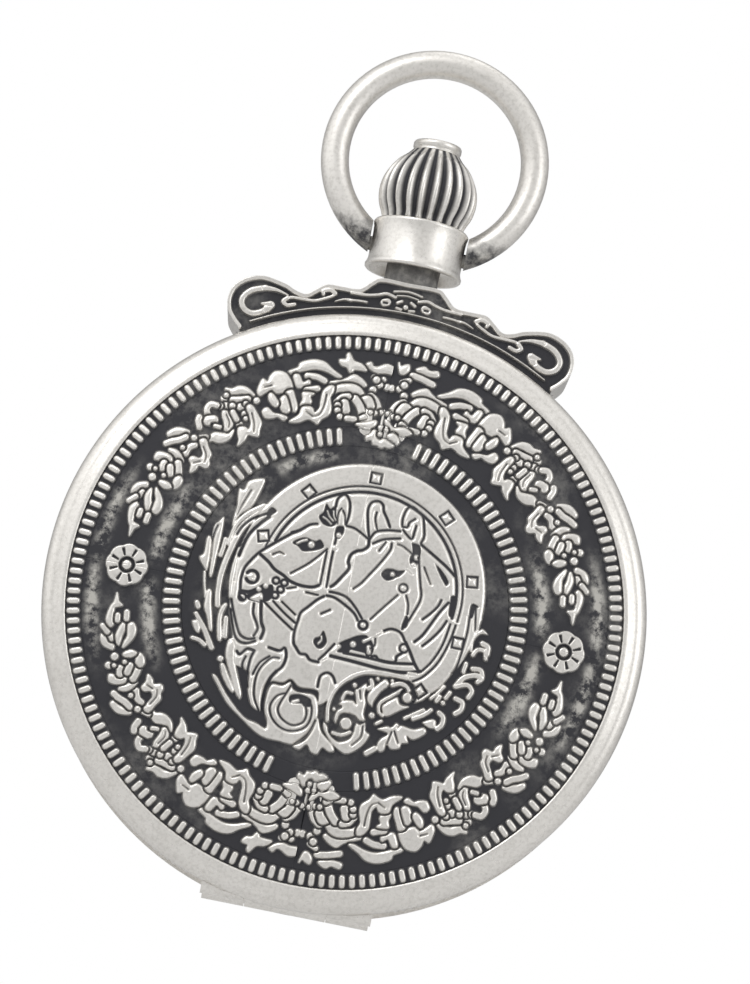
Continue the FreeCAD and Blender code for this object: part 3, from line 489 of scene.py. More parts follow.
def oxidised(name, level, low=None, high=None):
    """Silver that is dark to about the level (0 to 1); between heights low and high (mm) it turns bright."""
    material, tree = new_material(name)
    cloud = noise(tree, 900, 5, roughness=0.65)
    dark = blend_colour(tree, spread(tree, cloud, 0, 1, 0.45, 0.75), OXIDE, SCUFFED_OXIDE)
    if high is None:
        share = spread(tree, cloud, level - 0.15, level + 0.15, 0.3, 0.7)
    else:
        height = add_node(tree, "SeparateXYZ", {"Vector": coordinates(tree)}).outputs["Z"]
        wavy_height = add(tree, height, multiply(tree, cloud, 0.003))
        share = spread(tree, wavy_height, level, 0.0, low * MM, high * MM)
    return finished(material, {
        "Base Color": blend_colour(tree, share, worn(tree, 0.6), dark),
        "Metallic": spread(tree, share, 1.0, 0.4),
        "Roughness": spread(tree, share, 0.38, 0.5),
        "Normal": bump(tree, cloud, 0.00002, 0.4),
    })


def metal(name, colour, roughness, finish, scale=2200, depth=0.00001, vary=0.12):
    """Worked metal: finish is fine, brushed, stripes or circles."""
    material, tree = new_material(name)
    if finish == "stripes":
        pattern = add_node(tree, "TexWave", {
            "Vector": coordinates(tree), "Scale": scale, "Distortion": 0.4,
        }, bands_direction="DIAGONAL").outputs["Fac"]
    elif finish == "circles":
        cells = add_node(tree, "TexVoronoi", {"Vector": coordinates(tree), "Scale": scale})
        pattern = cells.outputs["Distance"]
    else:
        pattern = noise(tree, scale, 3, (1, 1, 12) if finish == "brushed" else (1, 1, 1))
    return finished(material, {
        "Base Color": blend_colour(tree, noise(tree, 500, 3), colour, darker(colour, vary)),
        "Metallic": 1.0,
        "Roughness": spread(tree, pattern, roughness - 0.05, roughness + 0.1),
        "Normal": bump(tree, pattern, depth, 0.6),
    })


def coated(name, colour, roughness, coat=0.0, vary=0.06):
    """Enamel, rubber or another coating that isn't metal."""
    material, tree = new_material(name)
    cloud = noise(tree, 800, 4)
    return finished(material, {
        "Base Color": blend_colour(tree, cloud, colour, darker(colour, vary)),
        "Roughness": spread(tree, cloud, roughness, roughness + 0.08),
        "Coat Weight": coat,
        "Coat Roughness": 0.06,
        "Normal": bump(tree, cloud, 0.000006, 0.3),
    })


def clear(name, colour, ior, roughness=0.0):
    """Glass or ruby, with faint marks from wiping."""
    material, tree = new_material(name)
    marks = noise(tree, 1800, 4, (1, 1, 6))
    return finished(material, {
        "Base Color": colour,
        "Roughness": spread(tree, marks, roughness, roughness + 0.04, 0.45, 0.8),
        "Transmission Weight": 1.0,
        "IOR": ior,
    })


CHASED = chased_silver("chased_silver", scuffs=0.35)
BRIGHT = silver("bright_silver", 0.32, dull=0.5)
INSIDE = silver("inside_silver", 0.2, dull=0.2)
DARK = oxidised("dark_silver", 0.85)
BOW_SILVER = oxidised("bow_silver", 0.97, low=34.0, high=35.6)
ENAMEL = coated("white_enamel", (0.86, 0.85, 0.81, 1), 0.16, coat=0.6, vary=0.03)
BLACK_PAINT = coated("black_paint", (0.012, 0.012, 0.014, 1), 0.25, coat=0.3)
BLUE_STEEL = metal("blued_steel", (0.03, 0.06, 0.30, 1), 0.16, "fine", vary=0.35)
NICKEL = metal("striped_nickel", (0.74, 0.72, 0.68, 1), 0.24, "stripes", 260, 0.00003)
PEARLED = metal("pearled_nickel", (0.72, 0.70, 0.66, 1), 0.28, "circles", 900, 0.00003)
BRASS = metal("gilt_brass", (0.83, 0.62, 0.28, 1), 0.26, "brushed")
STEEL = metal("polished_steel", (0.60, 0.61, 0.63, 1), 0.18, "brushed")
RUBY = clear("ruby", (0.75, 0.03, 0.14, 1), 1.76, 0.03)
GLASS = clear("crystal_glass", (1, 1, 1, 1), 1.5)
RUBBER = coated("black_rubber", (0.03, 0.03, 0.03, 1), 0.6)

FINISH = {
    "silver": BRIGHT, "antique_silver": DARK, "glass": GLASS, "enamel": ENAMEL, "blued_steel": BLUE_STEEL,
    "nickel": NICKEL, "brass": BRASS, "ruby": RUBY, "rubber": RUBBER, "steel": STEEL,
}
NODE_FINISH = {"mainplate": PEARLED, "movement_ring": PEARLED, "bow_ring": BOW_SILVER, "bezel": INSIDE}


def finish_cad_nodes():
    """Gives each CAD node the finish of its own name, or else of its material slot."""
    slots = {part["node"]: part["material_slot"] for part in frame["record"]["subparts"]}
    for node, piece in frame["nodes"].items():
        material = NODE_FINISH.get(node, FINISH[slots[node]])
        for material_slot in piece.material_slots:
            material_slot.material = material


# ---- front lid ------------------------------------------------------------------------------------

# Radii of the bands on the front lid, from the rim inwards, and the counts of their reeds.
RIM_TURN = 23.9
RIM_INNER = 22.98
REED_INNER, REED_COUNT = 21.7, 170
GARLAND_INNER = 15.1
FINE_INNER, FINE_COUNT = 13.45, 109
# The fine reeds leave out this many degrees on each side of 12 and 6 o'clock.
FINE_GAP = 12.5
REED_RISE, BACK_REED_RISE = 0.34, 0.22
# A reed's half width as a share of the pitch, and the width of its edge.
REED_WIDTH, REED_EDGE = 0.3, 0.09
# How far the garland's shapes grow, and the dark line that parts them.
GARLAND_SWELL, GARLAND_MOAT = 0.09, 0.13
# The plates' ground lies this far over the dome, and their walls end this far under the ground.
PROUD = 0.03
WALL = 0.2


def on_front(x, z, height):
    """Points on the front lid, raised by a height over its plain dome."""
    return np.stack([x, front_surface(np.hypot(x, z)) - PROUD - height, z], -1)


def on_back(x, z, height):
    return np.stack([x, back_surface(np.hypot(x, z)) + PROUD + height, z], -1)


def ring_field(inner, outer, rows, columns, start=0.0, sweep=360.0):
    """Angles (degrees) and radii of a grid over part of a ring."""
    whole = sweep == 360.0
    angle = start + sweep * np.linspace(0, 1, rows, endpoint=not whole)[:, None]
    radius = np.linspace(inner, outer, columns)[None, :]
    return np.broadcast_to(angle, (rows, columns)), np.broadcast_to(radius, (rows, columns))


def polar(angle, radius):
    return radius * np.sin(np.radians(angle)), radius * np.cos(np.radians(angle))


def reeds(name, inner, outer, count, height, gap=0.0, drawing=None, surface=on_front,
          body="front_lid", samples=12):
    """Ring of radial reeds with rounded ends, left out within gap degrees of 12 and 6 o'clock.

    drawing(relief) may add chased work to the gaps. Each reed has a number of samples across."""
    angle, radius = ring_field(inner, outer, count * samples, 15)
    reed = np.round(angle * count / 360.0)
    share = angle * count / 360.0 - reed
    across = np.radians(360.0 / count) * radius * share
    middle, half_length = (inner + outer) / 2, (outer - inner) / 2
    half_width = np.radians(360.0 / count) * middle * REED_WIDTH
    along = np.maximum(np.abs(radius - middle) - (half_length - half_width - REED_EDGE), 0)
    reach = np.hypot(across, along)
    cover = ramp((half_width - reach) / REED_EDGE)
    if gap:
        middle_angle = reed * 360.0 / count % 180
        cover = cover * (np.minimum(middle_angle, 180 - middle_angle) > gap)
    rounded_top = 0.7 + 0.3 * np.sqrt(np.clip(1 - np.square(reach / half_width), 0, 1))
    x, z = polar(angle, radius)
    rise, dark = height * cover * rounded_top, 1 - cover
    if drawing:
        relief = Relief(x, z, polar, GARLAND_SWELL, GARLAND_MOAT)
        drawing(relief)
        drawn_rise, drawn_dark = relief.result()
        rise, dark = np.maximum(rise, drawn_rise), np.minimum(dark, drawn_dark)
    top = surface(x, z, rise)
    under = below(top, WALL if surface is on_front else -WALL)
    slab(name, top, under, dark, body, CHASED, wrap=True, flip=surface is on_back)


def disc_field(radius, count):
    """Even grid over a disc: squares of the grid become nested rings."""
    a = np.linspace(-1, 1, count)
    u, v = np.meshgrid(a, a, indexing="ij")
    wide = np.abs(u) > np.abs(v)
    reach = np.where(wide, u, v)
    other = np.where(wide, v, u)
    turn = math.pi / 4 * np.divide(other, reach, out=np.zeros_like(other), where=reach != 0)
    angle = np.where(wide, turn, math.pi / 2 - turn)
    return radius * reach * np.cos(angle), radius * reach * np.sin(angle)


def draw_garland(relief, side):
    """A quarter of the garland; points are (degrees from 12 o'clock, radius), side is 1 or -1."""
    if side > 0:
        draw_right_spray(relief)
    else:
        draw_left_spray(relief)
    draw_crest(relief)
    draw_tulip(relief)
    draw_rose(relief)
    draw_tail(relief)
    rosette(relief, 90, 18.3, 1.68)
    draw_tip(relief, side)


def draw_right_spray(relief):
    """Leaves beside 12 and 6 o'clock next to the outer reeds; the left quarters have their own."""
    relief.plate((1.0, 21.1), (1.6, 20.8), (2.4, 21.0), (3.4, 21.1), (3.6, 20.6), (2.6, 20.2), (1.6, 20.3))
    relief.plate((5.2, 20.9), (6.8, 21.3), (8.2, 21.1), (10.0, 21.3), (10.4, 20.9), (8.4, 20.7),
                 (6.6, 20.7))
    relief.strip(0.2, (4.8, 20.3), (7, 20.25), (10, 20.1))
    relief.strip(0.16, (2.8, 19.5), (4.3, 19.8))


def draw_left_spray(relief):
    """The same place in the left quarters."""
    relief.plate((-0.6, 20.5), (1.6, 20.75), (3.4, 20.45), (4.6, 20.4), (5.3, 20.75), (6.3, 20.55),
                 (5.2, 20.15), (3.6, 19.9), (1.8, 20.0), (-0.4, 20.0))
    relief.plate((6.2, 20.0), (7.4, 20.5), (9.2, 20.75), (10.2, 21.4), (10.8, 21.3), (11.0, 20.9),
                 (12.5, 20.85), (12.1, 20.4), (10.8, 20.2), (10.2, 19.8), (9.5, 19.6), (9.2, 20.0),
                 (7.6, 20.0))
    relief.strip(0.16, (3.0, 19.3), (4.2, 19.5))
    relief.bead(1.8, 19.4, 0.18)


def draw_tip(relief, side, start=0):
    """Leaves round the start (degrees), the garland's middle line, in and over the fine reeds' gap."""
    def turned(points):
        return [(start + side * angle, radius) for angle, radius in points]

    for leaf in (
        [(-7.9, 15.35), (-4.6, 15.6), (-2.0, 15.8), (-2.2, 15.35), (-3.8, 15.0), (-6.0, 15.1)],
        [(0.7, 16.0), (1.6, 15.95), (3.6, 15.5), (5.6, 15.7), (7.4, 15.75), (9.4, 15.5), (7.2, 15.1),
         (5.0, 15.15), (2.8, 15.25), (1.4, 15.55)],
        [(2.4, 14.75), (3.8, 15.05), (5.4, 14.9), (6.6, 14.45), (5.6, 14.2), (3.8, 14.3)],
        [(-3.2, 14.6), (-2.2, 15.0), (-1.2, 14.85), (-1.2, 14.4), (0.2, 14.2), (1.4, 14.4), (2.6, 14.3),
         (5.2, 14.05), (3.6, 13.8), (2.4, 13.85), (1.2, 13.65), (-0.2, 13.8), (-1.8, 13.85), (-2.4, 14.2),
         (-4.2, 14.1), (-4.4, 14.4)],
    ):
        relief.plate(*turned(leaf))
    for angle, radius, size in ((-0.1, 14.75, 0.13), (-0.2, 15.3, 0.17), (1.6, 15.2, 0.12)):
        relief.bead(*turned([(angle, radius)])[0], size)


def draw_crest(relief):
    """The flower and the first big leaf, next to 12 and 6 o'clock."""
    strip, plate, bead = relief.strip, relief.plate, relief.bead
    for x, z in ((0.6, 18.8), (2.6, 18.9), (3.5, 19.3), (4.1, 18.4)):
        bead(x, z, 0.24)
    plate((5.9, 18.8), (7.4, 19.3), (9.2, 19.55), (11.2, 19.2), (15.6, 18.9), (12, 18.85), (9, 18.95),
          (6.6, 18.6))
    plate((6.0, 17.8), (7.6, 18.5), (10.2, 18.75), (13.4, 18.6), (15.8, 18.0), (14.6, 17.95), (12.6, 18.15),
          (10.0, 18.0), (8.0, 17.7), (6.6, 17.6))
    strip(0.26, (2.2, 17.0), (3.1, 17.5), (4.4, 17.8))
    strip(0.28, (4.1, 17.0), (5.0, 17.5), (6.2, 17.4))
    strip(0.26, (6.3, 16.2), (7.2, 16.9), (8.6, 17.5))
    strip(0.2, (10.4, 17.7), (12.2, 17.6), (13.6, 17.2))
    strip(0.3, (11.1, 16.5), (11.5, 17.1))
    for x, z in ((13.4, 16.95), (13.5, 16.5), (12.9, 15.95)):
        bead(x, z, 0.2)
    strip(0.18, (5.6, 16.0), (7.2, 15.75))
    strip(0.18, (8.6, 15.75), (10.8, 15.8))
    for x, z in ((1.0, 16.6), (2.6, 16.45), (4.0, 16.45)):
        bead(x, z, 0.15)
    # big leaf and its stem
    plate((12.2, 19.4), (14.2, 20.0), (16.0, 20.7), (18.6, 21.0), (21.4, 20.9), (22.2, 20.55), (24.4, 20.4),
          (24.2, 20.15), (21.0, 20.2), (18.2, 20.2), (15.8, 19.9), (13.4, 19.4))
    strip(0.2, (16.4, 19.1), (18.2, 19.5), (20.4, 19.7))
    plate((20.2, 19.3), (21.8, 19.2), (22.4, 19.9), (23.6, 19.9), (23.4, 18.9), (21.6, 18.85),
          (20.2, 18.95))
    strip(0.2, (18.4, 18.5), (21.2, 18.5))
    plate((19.5, 18.1), (21.2, 18.3), (22.4, 18.3), (22.6, 17.8), (23.6, 17.3), (22.0, 17.15),
          (20.6, 17.4), (20.6, 17.9))
    plate((14.2, 18.55), (15.4, 18.6), (17.0, 18.2), (17.9, 17.4), (18.5, 16.8), (20.2, 16.45),
          (20.6, 16.9), (22.0, 17.1), (23.4, 17.05), (24.6, 16.55), (27.8, 16.2), (25.2, 15.95),
          (22.4, 16.05), (20.8, 15.75), (19.8, 15.5), (18.4, 15.85), (16.0, 16.2), (15.3, 16.8),
          (15.4, 17.6), (14.4, 18.1))
    relief.line(0.05, (16.2, 17.9), (17.2, 17.0), (18.8, 16.3), (21.0, 16.2), taper=0.6)
    relief.line(0.05, (20.8, 16.2), (22.4, 16.7), taper=0.6)


def draw_tulip(relief):
    """Open flower, leaf, berries and the curled leaf below them."""
    strip, plate, bead = relief.strip, relief.plate, relief.bead
    plate((24.7, 18.9), (24.8, 19.8), (25.6, 20.35), (27.4, 20.65), (29.0, 20.4), (30.0, 20.0),
          (30.8, 20.35), (31.8, 20.1), (33.0, 19.6), (33.0, 19.1), (31.4, 19.2), (29.6, 19.3),
          (28.8, 18.85), (26.8, 18.8))
    plate((24.8, 18.7), (26.4, 18.65), (26.3, 17.9), (26.2, 17.1), (25.4, 16.9), (24.6, 17.3), (24.6, 18.1))
    plate((26.9, 18.4), (28.2, 18.3), (29.0, 17.8), (28.6, 17.1), (27.0, 17.05), (26.7, 17.7))
    plate((29.2, 18.1), (29.9, 18.9), (30.8, 18.9), (31.2, 18.4), (30.4, 17.8), (29.6, 17.8))
    relief.line(0.05, (29.4, 19.6), (31.2, 19.65), taper=0.5)
    plate((28.2, 16.6), (29.8, 17.0), (31.4, 17.3), (32.4, 17.9), (33.9, 17.8), (33.9, 17.2), (32.2, 16.95),
          (30.6, 16.9), (29.4, 16.45))
    plate((34.2, 19.3), (35.0, 20.1), (36.6, 20.55), (38.2, 20.6), (39.6, 20.9), (39.7, 20.35),
          (38.4, 20.05), (36.6, 19.9), (35.2, 19.4))
    strip(0.2, (36.0, 19.25), (37.6, 19.45), (39.4, 19.75))
    for x, z, r in ((34.2, 18.8, 0.22), (38.6, 18.9, 0.25), (41.1, 20.2, 0.22), (41.6, 19.6, 0.22),
                    (42.8, 19.8, 0.2), (40.2, 19.3, 0.2), (38.5, 18.2, 0.2), (38.8, 17.8, 0.14),
                    (41.0, 17.6, 0.2), (40.2, 20.35, 0.16), (37.0, 18.95, 0.16)):
        bead(x, z, r)
    plate((35.6, 18.3), (36.2, 18.7), (37.2, 18.6), (37.5, 17.8), (38.2, 17.2), (39.6, 16.85),
          (40.2, 17.2), (41.6, 17.4), (42.6, 17.05), (43.4, 16.5), (44.6, 16.15), (42.0, 16.25),
          (40.4, 16.5), (39.2, 16.2), (37.9, 16.0), (36.9, 16.4), (35.5, 16.9), (35.5, 17.6))
    relief.line(0.05, (36.7, 18.0), (37.4, 17.1), (38.6, 16.5), taper=0.6)


def draw_rose(relief):
    """First rose with the leaves beside it."""
    strip, plate, bead = relief.strip, relief.plate, relief.bead
    plate((42.9, 19.3), (43.6, 19.0), (44.2, 18.4), (45.1, 18.0), (44.8, 17.6), (43.6, 17.7), (42.4, 18.0),
          (41.9, 18.5), (42.1, 19.1))
    relief.line(0.045, (42.6, 18.9), (43.0, 18.2), (44.0, 17.85), taper=0.5)
    strip(0.17, (41.0, 18.1), (40.9, 18.8))
    strip(0.2, (43.4, 20.0), (44.4, 20.35), (45.8, 20.2), (46.4, 19.8))
    strip(0.36, (46.1, 19.1), (47.2, 19.3))
    relief.line(0.06, (46.4, 18.8), (47.0, 18.95), (47.6, 18.7))
    strip(0.2, (48.4, 20.0), (49.2, 19.8), (49.9, 19.3))
    strip(0.12, (45.8, 18.3), (46.6, 18.6))
    plate((43.2, 17.45), (45.0, 17.4), (46.4, 17.8), (47.6, 18.15), (49.0, 18.2), (50.6, 18.1),
          (51.2, 17.9), (49.6, 17.75), (48.6, 17.3), (47.0, 17.05), (45.0, 17.05))
    strip(0.16, (50.2, 18.3), (51.6, 18.6))
    plate((50.7, 18.2), (52.0, 18.4), (52.9, 17.8), (53.8, 17.35), (55.4, 17.3), (56.2, 17.8),
          (57.4, 17.85), (58.2, 17.4), (59.9, 17.05), (58.4, 16.85), (56.8, 16.9), (56.0, 16.35),
          (54.6, 16.35), (53.6, 16.7), (52.2, 16.9), (51.5, 17.5))
    relief.line(0.05, (52.4, 17.8), (53.4, 17.1), (55.0, 16.8), taper=0.6)
    relief.line(0.05, (55.8, 17.1), (57.4, 17.4), taper=0.5)
    plate((52.4, 19.6), (53.2, 20.2), (54.4, 20.6), (56.4, 20.75), (56.8, 20.4), (55.4, 20.2), (54.2, 19.8),
          (53.2, 19.5))
    strip(0.2, (54.0, 19.4), (55.6, 19.6), (57.0, 19.95), (58.4, 20.2))
    strip(0.2, (53.8, 18.4), (55.2, 18.55), (57.0, 18.4))
    bead(52.6, 18.9, 0.2)
    bead(56.4, 18.95, 0.15)


def draw_tail(relief):
    """Second rose and the pointed sprig that ends the quarter."""
    strip, plate, bead = relief.strip, relief.plate, relief.bead
    plate((58.2, 19.4), (58.9, 19.7), (59.5, 19.4), (59.3, 18.9), (59.6, 18.4), (59.0, 18.1), (58.2, 18.5),
          (57.9, 19.0))
    plate((60.0, 19.1), (60.4, 19.8), (61.4, 20.25), (62.9, 20.1), (62.6, 19.75), (61.8, 19.5),
          (61.8, 19.0), (61.0, 18.8))
    strip(0.24, (62.4, 19.2), (63.6, 19.1))
    strip(0.24, (60.2, 18.3), (61.2, 17.95), (62.4, 17.65))
    strip(0.22, (62.2, 18.6), (63.6, 18.25))
    plate((62.6, 17.5), (64.0, 17.7), (65.6, 17.5), (66.2, 17.2), (64.8, 17.0), (63.0, 17.1))
    plate((65.8, 18.0), (66.4, 18.55), (67.2, 18.5), (67.5, 17.9), (66.8, 17.55), (66.2, 17.55))
    for x, z, r in ((65.1, 19.95, 0.24), (66.8, 19.3, 0.26), (64.7, 19.5, 0.12), (64.9, 18.6, 0.13)):
        bead(x, z, r)
    plate((68.6, 19.4), (69.8, 20.0), (71.2, 20.2), (72.6, 20.1), (71.6, 19.75), (70.4, 19.5), (69.4, 19.2))
    strip(0.15, (71.2, 19.3), (72.4, 19.4))
    strip(0.17, (73.0, 19.6), (74.6, 19.95))
    plate((74.2, 19.3), (75.6, 19.6), (77.4, 19.5), (79.4, 19.2), (80.4, 18.95), (82.6, 18.75),
          (80.6, 18.6), (79.4, 18.3), (78.9, 18.9), (76.8, 19.0), (75.0, 19.0))
    plate((69.4, 18.8), (71.4, 18.95), (73.2, 18.7), (75.0, 18.25), (73.6, 18.05), (71.8, 18.4))
    plate((68.6, 18.5), (70.0, 18.3), (71.2, 18.0), (72.8, 17.9), (74.4, 17.8), (74.6, 17.4), (72.8, 17.25),
          (71.0, 17.45), (69.6, 17.9))
    strip(0.16, (75.6, 18.7), (76.9, 18.65))
    strip(0.18, (75.9, 17.95), (77.6, 17.9))


def rosette(relief, angle, radius, size):
    """Round flower: a ring of petals about a bead."""
    x, z = relief.place(angle, radius)
    index = relief.near(np.array([[x - size, z - size], [x + size, z + size]]), 0.2)
    across, up = relief.x[index] - x, relief.z[index] - z
    reach, turn = np.hypot(across, up), np.arctan2(up, across)
    rim = size * (0.93 + 0.07 * np.abs(np.cos(4 * turn)))
    relief.lift(index, rim - reach, PLATE)
    ring = ramp((0.1 - np.abs(reach - 0.36 * size)) / 0.1)
    gaps = ramp((-np.cos(8 * turn) - 0.72) / 0.3) * ramp((0.34 - np.abs(reach - 0.66 * size)) / 0.1)
    lines = np.maximum(ring, gaps)
    relief.cut(index, lines, lines)
    relief.bead(angle, radius, 0.2 * size)


# ---- medallion: two bridled horses' heads inside a horseshoe --------------------------------------

# Middle of the horseshoe (x, z).
SHOE = (0.85, 1.8)


def about_shoe(radius, start, end, count=15):
    """Points on a circle about the middle of the horseshoe; angles clockwise from 12 o'clock."""
    angles = np.radians(np.linspace(start, end, count))
    return [(SHOE[0] + radius * math.sin(a), SHOE[1] + radius * math.cos(a)) for a in angles]


def nail(relief, x, z, turn, size=0.37):
    """Square nail head in a dark frame."""
    sine, cosine = math.sin(math.radians(turn)), math.cos(math.radians(turn))
    for reach, draw in ((size + 0.16, relief.shade), (size - 0.04, relief.plate)):
        corners = []
        for u, v in ((1, 1), (1, -1), (-1, -1), (-1, 1)):
            corner = (x + reach * (u * cosine + v * sine), z + reach * (v * cosine - u * sine))
            corners += [corner, corner]
        draw(*corners)


def draw_medallion(relief):
    draw_outer_leaves(relief)
    draw_horseshoe(relief)
    draw_back_horse(relief)
    draw_front_horse(relief)
    draw_lower_scrolls(relief)


def draw_horseshoe(relief):
    """Horseshoe with its engraved lines and nails, and in one plate with it the ground of the heads."""
    relief.plate(
        *about_shoe(10.35, -98, 118, 24), (9.6, -3.7), (9.0, -4.8), (8.2, -5.6), (7.9, -5.5), (7.0, -5.4),
        (6.2, -4.9), (4.2, -5.0), (2.6, -5.2), (1.4, -6.0), (0.5, -6.9), (0.1, -7.8), (-0.6, -8.3),
        (-0.9, -7.2),
        (-2.4, -7.2), (-3.2, -6.7), (-3.8, -7.1), (-4.8, -7.2), (-5.2, -8.0), (-5.0, -9.6), (-6.0, -9.4),
        (-6.6, -8.0), (-6.8, -6.8), (-8.0, -6.4), (-8.8, -5.9), (-8.9, -4.6), (-8.6, -4.2), (-8.9, -3.2),
        (-9.3, -2.0), (-9.45, 0.4),
    )
    relief.line(0.07, *about_shoe(8.45, -78, 98, 22))
    relief.line(0.11, *about_shoe(7.95, -72, 97, 22))
    relief.line(0.08, (9.15, 0.3), (8.9, -1.2), (8.3, -3.0), (7.4, -4.3), (6.6, -4.9))
    relief.line(0.08, (8.7, 0.3), (8.4, -1.5), (7.8, -3.0), (7.1, -4.0))
    relief.line(0.09, (-9.3, -1.2), (-8.9, -2.2), (-8.3, -3.5), (-7.9, -4.0), (-7.3, -4.15), (-6.8, -4.0))
    relief.line(0.09, (-9.2, -2.0), (-8.8, -3.2), (-8.4, -4.1), (-7.9, -4.5), (-7.3, -4.5), (-6.7, -4.2))
    for x, z, turn in ((0.4, 11.0, 0), (-4.8, 8.8, 40), (-7.75, 4.45, -15), (6.75, 8.9, 45), (9.8, 4.1, -8),
                       (9.6, -1.1, 0), (7.3, -5.6, 45)):
        nail(relief, x, z, turn)
    relief.shade((8.3, 2.6), (8.3, 2.6), (8.85, 2.6), (8.8, 0.8), (8.8, 0.8), (8.4, 1.1))
    relief.shade((10.1, 2.3), (10.7, 2.2), (10.5, 1.9), (10.4, 1.2), (10.1, 1.2))
    relief.line(0.07, (10.15, 1.2), (10.2, 0.0), (10.1, -1.4), (9.9, -3.0), (9.7, -3.6))
    relief.line(0.07, (10.5, 2.0), (10.75, 0.6), (10.8, 0.2), taper=0.4)


def draw_back_horse(relief):
    """Head at the left, looking over the horseshoe's branch."""
    line, shade, strip, bead, plate = relief.line, relief.shade, relief.strip, relief.bead, relief.plate
    # outline of the face, ear and neck
    line(0.1, (-5.5, 5.1), (-6.1, 4.6), (-6.9, 3.9), (-7.8, 3.05), (-8.4, 2.2), (-8.75, 1.5), (-8.85, 0.6),
         (-8.75, -0.2), (-8.7, -0.8), (-8.3, -1.1))
    line(0.09, (-2.4, 8.0), (-2.35, 8.7), (-1.9, 9.15), (-1.5, 8.9), (-1.25, 8.3), (-1.2, 7.4), (-1.3, 6.7))
    line(0.07, (-1.9, 7.95), (-2.1, 7.5), (-2.0, 6.6), taper=0.5)
    line(0.07, (-1.75, 7.8), (-1.5, 7.4), (-1.35, 6.7), taper=0.5)
    line(0.08, (-1.2, 6.6), (-0.6, 6.55), (0.0, 6.3), (0.7, 5.9))
    line(0.13, (-5.5, 5.15), (-4.9, 5.5), (-4.2, 6.1), (-3.6, 6.3), taper=0.4)
    # forelock
    shade((-3.6, 6.9), (-3.3, 7.4), (-3.2, 8.1), (-2.8, 7.75), (-2.4, 8.1), (-2.25, 7.4), (-2.0, 6.8),
          (-2.4, 6.3), (-3.1, 6.35))
    strip(0.07, (-3.25, 6.95), (-2.9, 6.8), (-2.5, 6.5))
    strip(0.07, (-3.0, 7.5), (-2.75, 7.1), (-2.4, 6.8))
    strip(0.06, (-2.5, 7.6), (-2.4, 7.2), (-2.2, 6.9))
    shade((-1.95, 6.4), (-1.45, 6.5), (-1.35, 6.0), (-1.6, 5.4), (-2.0, 5.5), (-2.05, 6.0))
    # eye
    shade((-5.3, 4.35), (-4.9, 4.75), (-4.3, 5.0), (-3.5, 4.85), (-3.1, 5.05), (-2.7, 4.5), (-3.2, 4.15),
          (-3.9, 3.9), (-4.4, 3.85), (-4.8, 4.15))
    strip(0.1, (-4.9, 4.4), (-4.55, 4.65), (-4.2, 4.8))
    bead(-3.75, 4.5, 0.28)
    # bridle
    line(0.08, (-1.85, 5.9), (-1.9, 3.8), (-1.85, 1.3))
    line(0.07, (-2.4, 4.2), (-2.4, 2.6), (-2.4, 1.4))
    bead(-1.7, 5.7, 0.22)
    bead(-1.8, 4.6, 0.25)
    line(0.07, (-2.4, 4.4), (-3.6, 3.0), (-4.95, 1.85))
    line(0.11, (-7.7, 2.9), (-6.9, 2.4), (-6.3, 1.9), (-5.5, 1.55), (-4.9, 1.2), (-4.0, 1.0), (-3.0, 1.05),
         (-2.5, 1.3))
    line(0.07, (-5.0, 0.55), (-4.3, 0.8))
    line(0.07, (-3.4, 0.55), (-2.4, 0.5))
    # nostril and mouth
    relief.ring(0.12, -8.0, 0.95, 0.5, -60, 300)
    bead(-7.85, 0.75, 0.16)
    line(0.14, (-8.7, -0.4), (-8.0, -0.35), (-7.4, 0.0), (-6.9, 0.4))
    relief.ring(0.08, -8.45, -0.85, 0.3)
    shade((-8.2, -0.7), (-7.6, -0.2), (-6.9, 0.3), (-6.2, 0.6), (-6.0, -0.4), (-6.7, -1.0), (-7.8, -1.0))
    plate((-7.8, -0.85), (-7.0, -0.2), (-6.85, -0.9))
    for x, z in ((-6.0, 1.0), (-5.3, 0.95), (-5.5, 0.35), (-5.85, -0.2)):
        relief.ring(0.09, x, z, 0.27)
    for x, z in ((-7.25, 0.05), (-6.75, 0.4)):
        bead(x, z, 0.2)
    # reins and the strap below the chin
    line(0.08, (-6.6, -0.9), (-5.3, -1.8), (-3.9, -2.7))
    line(0.08, (-5.9, -0.7), (-4.8, -1.5), (-3.8, -2.1))
    line(0.07, (-5.2, -0.6), (-3.9, -1.45))
    line(0.09, (-7.4, -1.2), (-7.3, -2.0), (-6.9, -2.7), (-6.7, -3.2), (-6.9, -3.8))
    line(0.12, (-6.85, -0.9), (-6.7, -1.8), (-6.5, -2.6), (-6.2, -3.2), (-6.3, -3.9))
    # ribbon at the left of the horseshoe
    shade((-7.9, 6.3), (-7.6, 6.9), (-7.1, 6.7), (-7.4, 6.3), (-7.6, 6.0))
    line(0.09, (-7.9, 6.3), (-8.9, 5.7), (-9.6, 4.9), (-9.9, 4.2))
    line(0.12, (-7.6, 6.1), (-8.3, 5.3), (-9.0, 4.2), (-9.4, 2.5))
    line(0.06, (-6.7, 3.1), (-6.2, 3.4), (-5.8, 3.3), taper=0.5)


